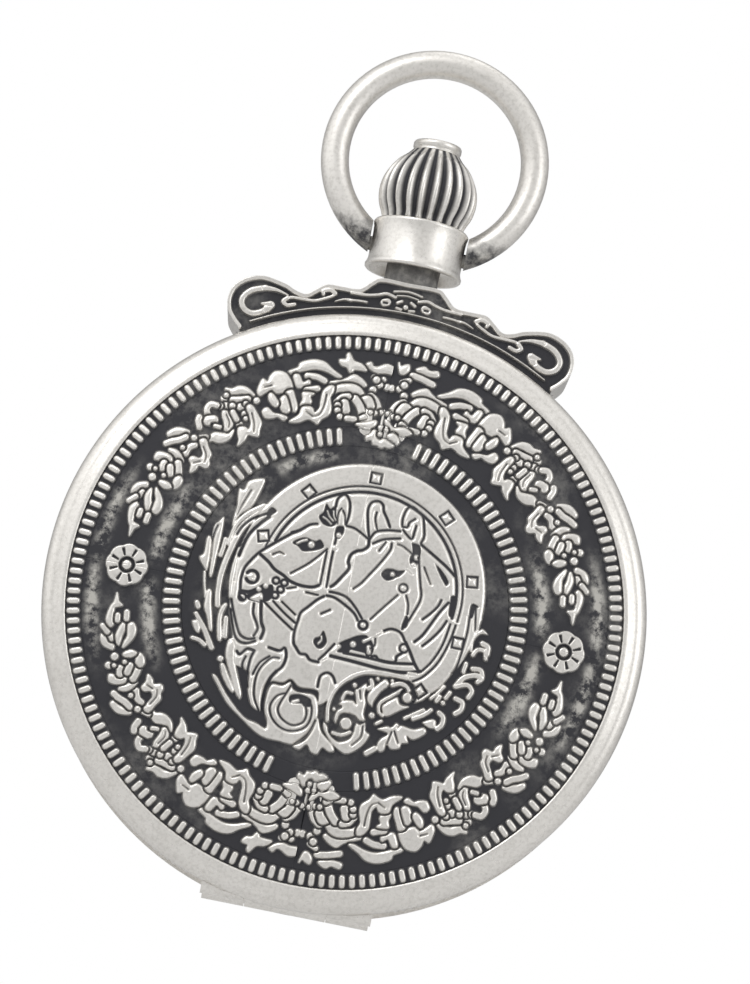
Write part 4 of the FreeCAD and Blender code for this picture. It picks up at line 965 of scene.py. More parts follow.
def draw_front_horse(relief):
    """Head at the right, over the other one."""
    line, shade, strip, bead = relief.line, relief.shade, relief.strip, relief.bead
    # ears and brow band
    line(0.09, (0.75, 6.1), (0.45, 7.2), (0.25, 8.3), (0.45, 8.95), (1.0, 9.15), (1.4, 8.9), (1.55, 8.4),
         (1.9, 7.9), (2.3, 7.2))
    line(0.08, (1.0, 8.2), (1.0, 7.6), (1.35, 6.7), taper=0.4)
    line(0.08, (3.25, 7.6), (3.2, 8.2), (3.4, 9.0), (3.8, 9.25), (4.3, 9.0), (4.8, 8.6), (5.05, 7.8),
         (5.2, 7.0), (5.05, 6.4))
    line(0.08, (4.2, 8.3), (3.8, 7.9), (3.7, 7.5), (3.3, 7.45))
    line(0.08, (4.4, 7.75), (4.35, 7.2), (4.25, 6.6), (3.8, 6.85), (3.4, 7.2))
    line(0.09, (0.8, 5.7), (1.2, 6.55), (2.1, 6.9), (3.2, 7.05))
    line(0.09, (1.2, 5.6), (2.0, 6.1), (3.3, 6.45))
    line(0.07, (1.8, 5.1), (2.2, 5.9))
    line(0.06, (3.2, 5.95), (3.7, 5.85), (4.5, 5.4))
    # cheek strap
    shade((4.3, 6.3), (4.3, 6.3), (5.0, 6.2), (5.2, 5.4), (5.1, 4.6), (4.7, 4.3), (4.4, 4.9), (4.5, 5.6))
    bead(4.92, 5.15, 0.22)
    bead(4.8, 4.5, 0.22)
    strip(0.14, (4.4, 4.05), (4.8, 3.8))
    # eye
    shade((2.35, 3.2), (2.6, 3.7), (3.1, 3.85), (3.7, 3.8), (4.2, 3.9), (3.9, 3.4), (3.6, 3.2), (3.3, 2.95),
          (2.8, 2.8))
    bead(3.25, 3.4, 0.2)
    # face
    line(0.08, (2.7, 5.9), (2.7, 5.4), (2.4, 4.7), (1.9, 3.8), (1.4, 3.0), (0.9, 2.2), (0.35, 1.6))
    line(0.11, (0.8, 5.9), (0.85, 5.3), (0.5, 4.9), (0.0, 4.7), (-0.4, 4.3), (-0.5, 3.7), (-0.35, 3.35),
         (-0.4, 3.0), (-0.7, 2.5), (-1.2, 1.7), (-1.5, 1.4))
    # mane and neck
    line(0.1, (5.1, 6.3), (6.5, 5.5), (7.5, 4.9), (8.3, 4.3))
    shade((6.5, 5.0), (6.5, 5.0), (7.2, 4.5), (7.9, 3.7), (7.75, 3.3), (7.75, 3.3), (7.1, 4.1))
    line(0.07, (5.7, 4.5), (6.5, 3.2), taper=0.5)
    line(0.09, (7.6, 2.1), (7.4, 1.5), (6.9, 0.8), (6.4, 0.25))
    line(0.1, (8.2, 2.0), (7.6, 1.0), (7.0, -0.3), (6.6, -1.1), (6.1, -1.7))
    line(0.09, (8.35, 0.5), (8.0, -0.3), (7.4, -1.2), (6.8, -1.9))
    line(0.08, (5.1, 5.2), (5.3, 4.4), (5.7, 2.9), (5.9, 2.2), (5.85, 1.5), (5.5, 0.5), (5.2, -0.3),
         (4.9, -0.9))
    relief.ring(0.07, 4.35, 2.45, 0.35)
    line(0.07, (4.0, 1.8), (3.0, 0.5), (2.2, -0.6))
    line(0.07, (4.7, 1.9), (5.0, 1.2), (5.1, 0.4))
    shade((5.0, 0.3), (5.3, -0.1), (5.2, -0.7), (4.8, -0.8))
    # noseband
    line(0.09, (-1.5, 0.95), (-0.8, 0.95), (0.0, 0.75), (0.8, 0.1), (1.5, -0.7))
    line(0.09, (-1.7, 0.6), (-1.0, 0.55), (0.0, 0.1), (0.8, -0.4), (1.2, -0.9))
    relief.ring(0.1, 1.7, -1.2, 0.35)
    # muzzle, nostril and mouth
    line(0.1, (-1.9, 0.5), (-2.4, 0.1), (-3.0, -0.6), (-3.5, -1.2), (-3.6, -1.9), (-3.7, -2.8),
         (-3.6, -3.7), (-3.3, -4.1), (-2.9, -4.5), (-2.4, -4.5), (-2.0, -4.85), (-1.3, -4.9))
    line(0.08, (-1.85, -0.95), (-1.2, -0.5))
    shade((-1.4, -2.3), (-1.1, -2.7), (-0.95, -3.2), (-1.2, -3.7), (-1.6, -3.8), (-2.0, -3.4),
          (-1.95, -3.0), (-1.6, -2.8))
    strip(0.08, (-1.6, -3.4), (-1.4, -3.1), (-1.45, -2.8))
    shade((0.0, -3.1), (0.8, -2.5), (1.5, -2.1), (2.2, -2.0), (2.9, -2.7), (2.8, -3.6), (1.9, -3.75),
          (0.9, -3.75), (0.0, -3.75))
    line(0.09, (-0.3, -3.2), (-0.8, -4.0), (-1.3, -4.7))
    strip(0.18, (0.1, -3.3), (-0.4, -4.0), (-1.0, -4.65), taper=0.4)
    bead(1.2, -2.9, 0.25)
    strip(0.16, (1.2, -3.55), (2.2, -3.6))
    strip(0.18, (2.5, -2.9), (2.6, -3.3))
    strip(0.13, (2.0, -2.5), (2.7, -2.0), (3.4, -1.4))
    # chin and rings
    line(0.09, (3.5, -1.3), (4.0, -1.05), (4.6, -1.1), (5.0, -1.35), (5.3, -1.8))
    line(0.07, (2.9, -2.1), (2.95, -2.6), (2.7, -2.95))
    line(0.1, (2.9, -3.6), (3.2, -3.5), (3.6, -3.75), (4.8, -3.7), (4.9, -3.2), (5.3, -2.8))
    relief.ring(0.08, 5.35, -2.4, 0.35)
    line(0.11, (5.4, -1.9), (5.9, -2.6), (6.4, -3.4), (6.8, -3.9))
    # reins
    line(0.1, (0.6, -3.75), (2.5, -3.75), (4.4, -3.8), (6.4, -3.5))
    line(0.12, (-0.4, -4.2), (1.6, -4.3), (4.0, -4.45), (5.8, -4.35), (7.0, -4.0))


def draw_lower_scrolls(relief):
    """Leaves and the two spirals under the heads."""
    line, shade, strip, bead, plate = relief.line, relief.shade, relief.strip, relief.bead, relief.plate
    # hollow below the reins, with the arch that frames it
    shade((0.55, -9.6), (0.55, -7.6), (1.1, -6.5), (2.2, -5.5), (3.6, -5.05), (6.2, -5.0), (6.8, -5.3),
          (7.0, -6.2), (6.2, -7.0), (4.6, -8.2), (4.0, -9.6), (3.2, -11.0), (1.8, -10.8), (0.9, -10.2))
    strip(0.18, (0.35, -9.4), (0.2, -8.2), (0.45, -7.0), (1.0, -6.1), (1.9, -5.3), (3.0, -4.85),
          (4.4, -4.72), (6.1, -4.75))
    strip(0.15, (6.15, -4.35), (6.7, -4.3))
    # leaves under the arch
    strip(0.2, (3.25, -5.5), (3.4, -5.9), (3.15, -6.2))
    bead(2.0, -6.15, 0.22)
    bead(3.75, -5.27, 0.17)
    bead(4.95, -5.2, 0.17)
    plate((4.4, -5.15), (4.75, -5.6), (4.2, -6.3), (3.8, -7.2), (3.75, -7.6), (3.3, -7.3), (3.2, -6.6),
          (3.8, -5.7))
    plate((2.9, -5.8), (3.0, -6.2), (2.95, -6.7), (3.2, -7.4), (3.2, -8.3), (3.4, -8.8), (2.9, -8.9),
          (2.5, -8.6), (1.9, -8.5), (1.3, -8.7), (1.1, -9.5), (0.85, -9.2), (0.95, -8.5), (1.3, -8.1),
          (1.0, -7.9), (1.4, -7.5), (2.1, -7.4), (2.4, -7.6), (2.1, -6.6), (2.4, -6.3))
    line(0.06, (2.5, -6.5), (2.7, -7.2), taper=0.5)
    strip(0.16, (1.2, -7.5), (1.4, -6.9), (1.9, -6.85))
    bead(0.72, -8.4, 0.17)
    strip(0.16, (4.3, -8.9), (4.7, -8.6))
    bead(3.85, -8.3, 0.27)
    strip(0.16, (5.85, -5.8), (5.0, -6.5), (4.3, -7.2), (4.35, -7.9), (4.7, -8.15))
    plate((5.6, -6.4), (5.95, -6.9), (6.7, -7.0), (6.0, -7.5), (5.2, -8.1), (4.8, -8.1), (4.5, -7.5),
          (4.7, -7.1))
    strip(0.2, (5.0, -5.55), (5.6, -5.3), (6.1, -5.4), (6.4, -5.7))
    relief.ring(0.1, 6.45, -6.2, 0.62, 40, 280)
    bead(6.4, -6.3, 0.42)
    # right-hand spiral
    bead(1.9, -9.35, 0.5)
    strip(0.17, (1.0, -10.3), (1.7, -10.35), (2.35, -10.0))
    plate((2.7, -9.2), (3.1, -9.2), (3.45, -9.0), (3.6, -9.6), (4.0, -9.9), (3.7, -10.7), (3.1, -11.4),
          (2.4, -11.8), (1.7, -11.6), (0.9, -11.0), (0.2, -10.2), (0.1, -9.6), (0.5, -9.9), (0.7, -10.4),
          (1.5, -10.9), (2.3, -10.6), (2.6, -10.0))
    line(0.06, (3.3, -9.3), (3.3, -10.2), (2.7, -11.0), taper=0.4)
    # left-hand spiral and its leaf
    plate((-4.7, -7.4), (-3.8, -7.3), (-3.2, -6.9), (-2.9, -7.4), (-2.3, -7.6), (-1.2, -7.55),
          (-0.7, -8.1), (-0.45, -9.2), (-0.7, -10.4), (-1.4, -11.4), (-2.1, -11.9), (-3.2, -11.85),
          (-4.4, -11.8), (-5.4, -11.4), (-6.6, -10.6), (-8.0, -9.6), (-9.0, -8.4), (-9.6, -7.6),
          (-9.2, -7.6), (-8.0, -9.0), (-6.4, -10.4), (-5.3, -10.7), (-4.5, -11.0), (-4.5, -10.4),
          (-5.0, -9.6), (-5.0, -8.4))
    line(0.07, (-3.1, -7.2), (-3.4, -8.0), (-3.7, -8.8), (-3.75, -9.4), (-3.3, -10.0), (-2.4, -10.35),
         (-1.6, -10.0), (-1.4, -9.3), (-1.6, -8.6))
    line(0.07, (-3.4, -7.9), (-4.1, -8.3), (-4.45, -9.2), (-4.1, -10.1), (-3.2, -10.75), (-2.2, -10.8),
         (-1.3, -10.3), (-1.0, -9.4), (-1.2, -8.4), (-1.9, -8.0))
    line(0.06, (-0.6, -9.6), (-1.0, -10.8), (-1.9, -11.8), taper=0.3)
    shade((-3.0, -8.0), (-2.2, -7.75), (-1.3, -8.0), (-1.2, -8.6), (-1.7, -8.7), (-2.0, -8.5), (-2.9, -8.6))
    strip(0.14, (-2.7, -8.5), (-2.3, -8.3))
    # lower left leaves
    shade((-7.9, -6.9), (-7.3, -6.9), (-6.6, -8.2), (-6.0, -9.6), (-5.4, -10.5), (-6.6, -10.0),
          (-7.6, -8.9), (-7.2, -8.6), (-7.7, -7.6))
    plate((-9.15, -6.6), (-8.8, -6.5), (-8.2, -7.4), (-7.6, -8.4), (-7.7, -8.7), (-8.2, -8.3), (-8.8, -7.5))
    plate((-8.8, -6.0), (-8.9, -4.9), (-8.5, -4.4), (-8.1, -5.0), (-8.0, -6.0), (-7.5, -7.2), (-6.9, -8.6),
          (-7.0, -9.1), (-7.5, -8.6), (-8.1, -7.4))
    bead(-9.2, -6.15, 0.28)
    line(0.1, (-8.0, -5.3), (-7.7, -5.5), (-7.2, -4.95), (-6.6, -5.0))
    line(0.09, (-7.2, -5.6), (-7.35, -6.2), (-7.2, -6.9))
    line(0.1, (-6.6, -5.0), (-6.8, -5.8), (-6.8, -7.2), (-6.6, -8.0))
    line(0.1, (-5.5, -4.5), (-4.6, -4.6), (-4.2, -4.3), (-3.95, -5.0), (-4.1, -5.8), (-4.5, -6.3))
    line(0.07, (-4.5, -5.2), (-5.1, -5.3), (-5.8, -6.2), (-6.05, -7.2), (-5.9, -8.6), (-5.3, -9.7))
    line(0.08, (-5.3, -5.2), (-6.0, -5.9), (-6.35, -6.9))
    line(0.12, (-4.5, -6.3), (-4.9, -7.0), (-5.1, -8.0), (-5.1, -9.2), (-4.8, -10.2))
    # arch and finial in the middle
    line(0.09, (-0.95, -6.9), (-0.9, -6.0), (-0.4, -5.6), (0.1, -5.8), (0.4, -6.3))
    plate((-0.4, -9.4), (0.1, -10.4), (1.2, -11.3), (1.4, -11.8), (0.9, -11.9), (0.4, -11.7), (0.1, -12.3),
          (-0.5, -12.2), (-0.9, -11.7), (-1.4, -12.2), (-2.0, -12.0), (-1.2, -11.4), (-0.7, -10.4))


def draw_outer_leaves(relief):
    """Acanthus leaves outside the horseshoe, on the dark ground."""
    strip, plate, bead, line = relief.strip, relief.plate, relief.bead, relief.line
    # left
    plate((-10.5, 8.0), (-10.1, 8.0), (-9.9, 8.7), (-9.2, 9.1), (-8.5, 9.1), (-8.8, 7.6), (-9.2, 6.6),
          (-10.0, 5.8), (-10.4, 4.7), (-10.5, 5.4), (-10.4, 6.4), (-10.5, 7.2))
    line(0.06, (-9.5, 8.0), (-10.0, 6.6), (-10.2, 5.8), taper=0.5)
    strip(0.26, (-8.2, 6.9), (-9.4, 6.0), (-10.1, 5.0), (-10.4, 3.8), (-10.45, 3.2), taper=0.5)
    strip(0.3, (-8.4, 6.2), (-9.5, 5.0), (-10.1, 3.2), (-10.5, 1.0), (-10.5, -0.6), (-10.3, -1.9),
          taper=0.2)
    strip(0.22, (-9.4, 3.0), (-9.6, 1.6), (-9.6, 0.2), (-9.4, -1.0), taper=0.2)
    plate((-11.2, 5.4), (-11.1, 4.0), (-11.15, 2.0), (-11.2, 0.4), (-11.5, 0.4), (-11.6, 1.6), (-11.8, 3.0),
          (-11.9, 4.4), (-11.6, 5.0))
    line(0.07, (-11.6, 4.6), (-11.8, 3.6), (-11.7, 2.0), taper=0.4)
    plate((-12.3, 3.5), (-11.9, 3.5), (-11.7, 2.2), (-11.7, 0.8), (-12.0, 0.9), (-12.6, 1.7), (-12.3, 2.2))
    strip(0.2, (-10.75, 3.6), (-10.8, 2.8), (-10.9, 2.2))
    strip(0.13, (-11.9, 0.6), (-11.7, -0.4), (-11.4, -1.4))
    plate((-11.4, -0.8), (-11.0, -0.8), (-10.8, -1.8), (-10.3, -3.9), (-10.6, -4.0), (-11.0, -3.0),
          (-11.4, -2.2))
    plate((-9.8, -1.6), (-9.5, -1.7), (-9.7, -2.8), (-9.4, -4.4), (-9.5, -4.8), (-9.8, -4.6),
          (-10.1, -3.2), (-10.1, -2.2))
    strip(0.22, (-9.4, -2.8), (-9.2, -4.3))
    strip(0.24, (-12.0, -2.0), (-11.85, -2.3))
    strip(0.2, (-11.9, -2.9), (-11.0, -4.0), (-10.1, -5.4), taper=-0.3)
    plate((-12.1, -3.5), (-11.6, -3.4), (-11.3, -3.9), (-11.3, -4.4), (-11.6, -4.4), (-12.0, -3.9))
    strip(0.2, (-11.8, -4.9), (-11.2, -5.0), (-10.7, -5.3))
    # right
    strip(0.2, (10.7, 2.0), (11.0, 1.2))
    plate((11.0, 0.1), (11.4, 0.5), (11.9, 0.1), (11.3, 0.0), (10.9, -0.6), (10.9, -1.5), (10.7, -1.5),
          (10.7, -0.4))
    strip(0.2, (11.0, -1.8), (11.3, -1.3), (11.9, -1.3), (12.1, -1.9))
    strip(0.24, (11.6, -0.7), (12.1, -0.9), (12.15, -1.5))
    strip(0.22, (11.2, -2.9), (11.9, -2.9), (12.1, -3.5), (11.8, -3.9))
    strip(0.24, (10.1, -4.6), (10.6, -3.8), (11.5, -3.4), (12.0, -3.5))
    strip(0.22, (10.2, -4.6), (11.0, -4.3), (11.5, -4.7), (11.3, -5.3))
    strip(0.24, (10.3, -5.6), (10.9, -5.8), (10.9, -6.4), (10.5, -6.8))
    strip(0.2, (10.6, -2.6), (10.5, -3.3))
    strip(0.2, (9.75, -5.2), (9.5, -5.7))
    strip(0.2, (9.0, -5.7), (8.8, -6.1))
    bead(9.35, -6.15, 0.22)
    strip(0.16, (9.2, -4.8), (8.8, -5.4), (8.3, -6.0))
    strip(0.2, (8.0, -5.6), (7.6, -6.1), (7.1, -6.4))
    bead(7.3, -5.6, 0.3)
    # lower right
    strip(0.16, (7.9, -7.0), (7.2, -7.5), (6.5, -8.0))
    strip(0.2, (8.5, -6.9), (8.0, -7.4), (7.2, -7.9))
    strip(0.24, (9.2, -7.0), (9.6, -7.3), (9.6, -7.9), (9.3, -8.3))
    plate((8.0, -8.0), (8.7, -7.6), (9.1, -7.7), (9.1, -8.3), (8.7, -8.4), (8.2, -8.2))
    plate((6.4, -8.6), (7.4, -8.7), (8.2, -8.4), (8.5, -8.8), (7.9, -9.4), (7.4, -9.6), (7.0, -9.4),
          (7.2, -9.9), (6.7, -10.1), (6.6, -10.5), (5.9, -10.7), (5.5, -10.4), (5.4, -10.9), (5.0, -11.1),
          (4.7, -10.6), (4.9, -10.0), (5.4, -9.5), (4.5, -9.3), (5.2, -8.9), (5.6, -8.9), (5.9, -8.5),
          (6.2, -8.6), (6.1, -8.9))
    line(0.06, (5.9, -9.2), (6.4, -10.1), taper=0.4)
    line(0.06, (5.7, -9.3), (5.5, -10.3), taper=0.4)
    strip(0.26, (4.0, -11.4), (4.6, -10.9))


# ---- lids ----------------------------------------------------------------------------------------

# Wave pattern of the back: waves round the lid, rings per millimetre, and height.
WAVE_COUNT, WAVES_PER_MM, WAVE_RISE = 24, 1.15, 0.08
# Coin edge: where it starts and the hinge's half angle in degrees, ribs round the case, and height.
KNURL_START, HINGE_HALF, KNURL_COUNT, KNURL_RISE = 33, 20, 240, 0.24
# How strongly the worn streaks brighten the dark ground.
GARLAND_WEAR, MEDALLION_WEAR = 2.0, 1.6


def rubbed(radius, middle, width):
    """Share by which ground is rubbed: 1 at the middle radius, fading over the width on both sides."""
    return np.exp(-np.square((radius - middle) / width))


def front_garlands():
    """Four quarters: the right and left drawings, and both mirrored below 3 and 9 o'clock."""
    angle, radius = ring_field(GARLAND_INNER, REED_INNER, 460, 104, 0, 90)
    x, z = polar(angle, radius)
    # the ground is rubbed bright beside the sprigs' ends, near both rings of reeds
    outer_ends = ramp((angle - 71) / 16) * (1 - 0.6 * ramp((angle - 87) / 4))
    inner_ends = ramp((angle - 66) / 16) * ramp((86 - angle) / 8)
    wear = GARLAND_WEAR * (rubbed(radius, 20.85, 0.45) * outer_ends + rubbed(radius, 16.2, 0.5) * inner_ends)
    for side, side_name in ((1, "right"), (-1, "left")):
        relief = Relief(x, z, polar, GARLAND_SWELL, GARLAND_MOAT)
        draw_garland(relief, side)
        height, dark = relief.result()
        for up, up_name in ((1, "upper"), (-1, "lower")):
            top = on_front(side * x, up * z, height)
            piece = slab(f"garland_{up_name}_{side_name}", top, below(top, WALL), dark, "front_lid",
                         CHASED, flip=side * up < 0)
            set_tone(piece, wear, "wear")


def front_medallion():
    """Two halves, which share the middle row of one drawing."""
    count = 400
    x, z = disc_field(FINE_INNER, count)
    relief = Relief(x, z)
    draw_medallion(relief)
    height, dark = relief.result()
    top = on_front(x, z, height)
    radius, angle = np.hypot(x, z), np.degrees(np.arctan2(x, z))
    # the ground is rubbed bright outside the horseshoe, from 36 to 16 degrees before 12 o'clock
    wear = MEDALLION_WEAR * rubbed(radius, 12.7, 0.4) * ramp((angle + 36) / 8) * ramp((-16 - angle) / 8)
    half = count // 2
    for name, rows in (("left", slice(0, half)), ("right", slice(half - 1, count))):
        part = top[rows]
        piece = slab(f"medallion_{name}", part, below(part, WALL), dark[rows], "front_lid",
                     CHASED, flip=True)
        set_tone(piece, wear[rows], "wear")


def draw_tips(relief):
    """The garland's tips at 12 and 6 o'clock, as far as they reach into the ring of fine reeds."""
    draw_tip(relief, 1)
    draw_tip(relief, -1, start=180)


def front_bands():
    """Both rings of reeds and the plain rim that rounds over to the lid's edge."""
    reeds("outer_reeds", REED_INNER, RIM_INNER, REED_COUNT, REED_RISE)
    reeds("fine_reeds", FINE_INNER, GARLAND_INNER, FINE_COUNT, REED_RISE, gap=FINE_GAP, drawing=draw_tips,
          samples=14)
    rise, turn = front_surface(RIM_INNER), front_surface(RIM_TURN)
    half_width, half_height, drop = 1.13, 1.15, 1.1
    edge = [(RIM_TURN + half_width * math.sin(a), turn + drop - half_height * math.cos(a))
            for a in np.radians(range(0, 81, 10))]
    lathe("front_rim", [
        (RIM_INNER, rise + 0.3), (RIM_INNER, rise - 0.12), (RIM_INNER + 0.06, rise - 0.2),
        (RIM_INNER + 0.18, rise - 0.23), (RIM_INNER + 0.45, rise - 0.18), *edge, (24.6, turn + 0.9),
        (RIM_TURN, turn + 0.4),
    ], "front_lid", BRIGHT, axis="y", steps=512)


def back_bands():
    """Reeds like those of the front, round a wave pattern that leaves a plain shield in the middle."""
    reeds("back_reeds", REED_INNER, RIM_INNER, REED_COUNT, BACK_REED_RISE, surface=on_back, body="back_lid")
    inner, outer, fade_width = 6.6, 21.4, 0.6
    angle, radius = ring_field(inner, outer, 1440, 48)
    x, z = polar(angle, radius)
    swing = 6.0 * np.sin(np.radians(angle * WAVE_COUNT)) * (radius / outer)
    waves = 0.5 + 0.5 * np.cos(2 * math.pi * (radius * WAVES_PER_MM + 0.12 * swing))
    fade = ramp((radius - inner - 0.3) / fade_width) * ramp((outer - 0.3 - radius) / fade_width)
    top = on_back(x, z, WAVE_RISE * waves * fade)
    slab("back_guilloche", top, below(top, -WALL), 0.35 * (1 - waves) * fade, "back_lid", CHASED,
         wrap=True, flip=True)


def band_knurl():
    """Coin edge round the middle of the case, left out under the ornament and plain and low at the hinge."""
    middle = (band_low[1] + band_high[1]) / 2
    half_width = 2.7
    rows, columns = 2200, 9
    angle = np.linspace(KNURL_START, 360 - KNURL_START, rows)[:, None]
    at_hinge = np.abs(angle - 180) < HINGE_HALF
    across = np.broadcast_to(np.linspace(-half_width, half_width, columns), (rows, columns))
    ribs = 0.5 + 0.5 * np.cos(np.radians(angle) * KNURL_COUNT + across * 1.2)
    ends = ramp((half_width - 0.2 - np.abs(across)) / 0.4)
    reach = band_high[0] + 0.02 - 0.3 * at_hinge + KNURL_RISE * ribs * ends * ~at_hinge
    x, z = polar(angle, reach)
    top = np.stack([x, middle + across, z], -1)
    inner_x, inner_z = polar(angle, band_high[0] - 0.6)
    under = np.stack([np.broadcast_to(inner_x, (rows, 2)), top[:, [0, -1], 1],
                      np.broadcast_to(inner_z, (rows, 2))], -1)
    slab("band_knurl", top, under, 0.5 * (1 - ribs), "case", CHASED)


# ---- pendant and crown ---------------------------------------------------------------------------

# Bore of the collar over the stem, and its wider bore over the crown's foot.
STEM_BORE, COLLAR_BORE = 2.3, 3.74


def pendant_pieces():
    """The collar, with a bead round its foot and its top."""
    foot, top = collar_low[2], collar_high[2]
    outer = collar_high[0]
    lathe("collar", [
        (STEM_BORE, foot + 2.85), (STEM_BORE, foot + 0.85), (3.72, foot + 0.85), (COLLAR_BORE, foot + 0.06),
        (3.85, foot), (outer, foot + 0.02), (outer + 0.1, foot + 0.12), (outer + 0.12, foot + 0.3),
        (outer + 0.02, foot + 0.5), (outer - 0.06, foot + 0.8), (outer - 0.08, top - 1.2),
        (outer - 0.04, top - 0.5), (outer + 0.02, top - 0.3), (outer + 0.04, top - 0.14),
        (outer - 0.06, top), (3.82, top), (COLLAR_BORE, top - 0.08), (COLLAR_BORE, foot + 2.85),
    ], "case", BRIGHT, steps=256, replaces=("bow_collar",))


CROWN_RIBS = 22
CROWN_STEPS = CROWN_RIBS * 18
CROWN_BORE = 2.7


def flute(angle):
    """Depth share of the crown's flutes: 0 on a rib and 1 between two."""
    return 1 - np.abs(np.cos(CROWN_RIBS * angle / 2)) ** 2.2


def crown_pieces():
    """The onion crown, whose flutes carry painted shade and painted dark reflection, and the button on top of
    it.

    Its foot is narrower than the collar's wider bore, into which it sinks when it is pushed."""
    foot, top = crown_low[2], crown_high[2]
    socket, stem = foot + 1.3, 0.62
    lip = CROWN_BORE + 0.05
    belly_curve = smooth_line([
        (3.2, foot), (3.45, foot + 0.55), (3.66, foot + 1.15), (4.03, foot + 2.0), (4.2, foot + 3.0),
        (4.12, foot + 4.0), (3.76, foot + 5.0), (3.15, foot + 5.9), (2.5, foot + 6.5), (2.12, top),
    ], steps=4)
    profile = [(stem, socket), (CROWN_BORE, socket), (CROWN_BORE, foot + 0.1), (lip, foot), (lip, foot),
               *belly_curve, (stem, top)]

    def ribbed(radius, height, angle):
        belly = np.clip((height - foot - 0.1) / 0.9, 0, 1) * np.clip((top - 0.15 - height) / 1.6, 0, 1)
        return radius - 0.5 * belly * flute(angle) * (radius > lip + 0.01)

    crown = lathe("ribbed_crown", profile, "crown", CHASED, steps=CROWN_STEPS,
                  reach=ribbed, replaces=("crown",))
    angle = np.linspace(0, 2 * math.pi, CROWN_STEPS, endpoint=False)[:, None]
    # Painted shade and painted dark reflection: the flutes get the dark tone of the chased silver.
    groove = np.clip(1.6 * flute(angle) - 0.3, 0.05, 1)
    set_tone(crown, np.broadcast_to(groove, (len(angle), len(profile))))
    low, high = cap_low[2], cap_high[2]
    lathe("crown_button", [
        (0.0, low), (2.0, low), (2.05, low + 0.1), (1.95, low + 0.2), (1.95, low + 0.3), (2.08, low + 0.38),
        (2.08, high - 0.22), (2.0, high - 0.08), (1.6, high - 0.02), (0.0, high),
    ], "crown", BRIGHT, steps=128, replaces=("crown_cap",))


# Right half of the ornament's outline (x, z), from the middle of its flat top to the case.
ORNAMENT_EDGE = [
    (0, 28.5), (2.4, 28.5), (3.2, 28.0), (4.1, 27.2), (5.5, 27.1), (6.8, 27.05), (7.6, 26.5), (8.4, 25.9),
    (9.3, 26.0), (10.3, 26.4), (12.2, 26.7), (13.6, 26.25), (14.5, 25.4), (14.8, 24.35), (14.6, 23.3),
    (14.0, 22.5), (13.5, 22.05),
]
# Radius of its foot on the case, and half the angle that the foot takes up.
ORNAMENT_FOOT = 24.66
ORNAMENT_HALF = 31.4


def draw_ornament(relief, outline):
    """Scroll-work between a bright rim and the line over the case's edge; the halves mirror."""
    relief.strip(0.34, *outline)
    relief.strip(0.09, *(polar(angle, 25.95) for angle in np.linspace(-29, 29, 15)))
    for side in (-1, 1):
        def strip(half, *points, taper=0.0):
            relief.strip(half, *((side * x, z) for x, z in points), taper=taper)

        strip(0.27, (11.9, 25.75), (13.0, 25.3), (13.6, 24.5), (13.4, 23.75), (12.7, 23.4), (11.95, 23.6),
              (11.4, 24.0))
        strip(0.27, (11.9, 25.75), (10.9, 25.75), (9.9, 25.5), taper=0.7)
        strip(0.36, (11.4, 24.05), (11.15, 24.4))
        strip(0.26, (11.2, 24.5), (11.9, 24.35), taper=0.5)
        strip(0.15, (9.9, 25.25), (9.5, 25.4), (8.6, 25.42), (7.6, 25.5), (6.8, 25.85), (6.2, 26.2),
              (6.05, 26.5))
        strip(0.22, (9.9, 25.25), (10.2, 24.9), (9.8, 24.66), (9.2, 24.85), taper=0.2)
        strip(0.22, (6.05, 26.45), (6.5, 26.66), (7.05, 26.45), (7.0, 26.2), taper=0.2)
        strip(0.15, (4.7, 26.78), (3.4, 26.85), (2.5, 27.05), (1.75, 27.3), (1.0, 27.12))
        strip(0.16, (4.6, 26.15), (5.2, 26.1), (5.9, 25.8), taper=0.6)
        strip(0.12, (4.6, 26.15), (4.0, 26.22), (3.3, 26.25))
        strip(0.34, (1.6, 26.6), (1.85, 26.5))
        relief.line(0.07, (side * 1.6, 26.5), (side * 1.9, 26.5))
        strip(0.15, (0.4, 26.9), (0.75, 26.7))
        strip(0.13, (0.35, 26.2), (0.75, 26.25))
    relief.strip(0.11, (-1.2, 27.6), (0, 27.8), (1.2, 27.6))
    relief.strip(0.08, (-0.9, 27.3), (0, 27.42), (0.9, 27.3))
    relief.bead(0, 26.45, 0.24)


def ornament_pieces():
    """Both faces of the ornament over its outline, each half as deep as the CAD ornament."""
    left = [(-x, z) for x, z in ORNAMENT_EDGE[:0:-1]]
    outline = smooth_line(left + ORNAMENT_EDGE)
    length = np.concatenate([[0], np.cumsum(np.hypot(*np.diff(outline, axis=0).T))])
    share = np.linspace(0, 1, 900)
    outer = np.stack([np.interp(share * length[-1], length, axis) for axis in outline.T], -1)
    inner = np.stack(polar(ORNAMENT_HALF * (2 * share - 1), ORNAMENT_FOOT), -1)
    out = np.linspace(0, 1, 80)[None, :, None]
    places = inner[:, None] * (1 - out) + outer[:, None] * out
    relief = Relief(places[..., 0], places[..., 1])
    draw_ornament(relief, left + ORNAMENT_EDGE)
    height, dark = relief.result()
    middle = (ornament_low[1] + ornament_high[1]) / 2
    for name, face, sign in (("front", ornament_low[1], -1), ("back", ornament_high[1], 1)):
        top = np.stack([places[..., 0], face + sign * height, places[..., 1]], -1)
        under = below(top, 0)
        under[..., 1] = middle
        piece = slab(f"ornament_{name}", top, under, dark, "case", CHASED, flip=sign > 0)
        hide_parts("shoulder_ornament")


# ---- dial ----------------------------------------------------------------------------------------

NUMERALS = ("XII", "I", "II", "III", "IIII", "V", "VI", "VII", "VIII", "IX", "X", "XI")
NUMERAL_RADIUS, NUMERAL_SIZE = 15.6, 4.2
SECONDS_CENTRE = (0.0, -8.8)
# Thickness of the paint on the dial.
PAINT = 0.02


def add_paint(name, vertices, faces):
    add_piece(name, vertices, faces, "case", BLACK_PAINT, smooth=False)


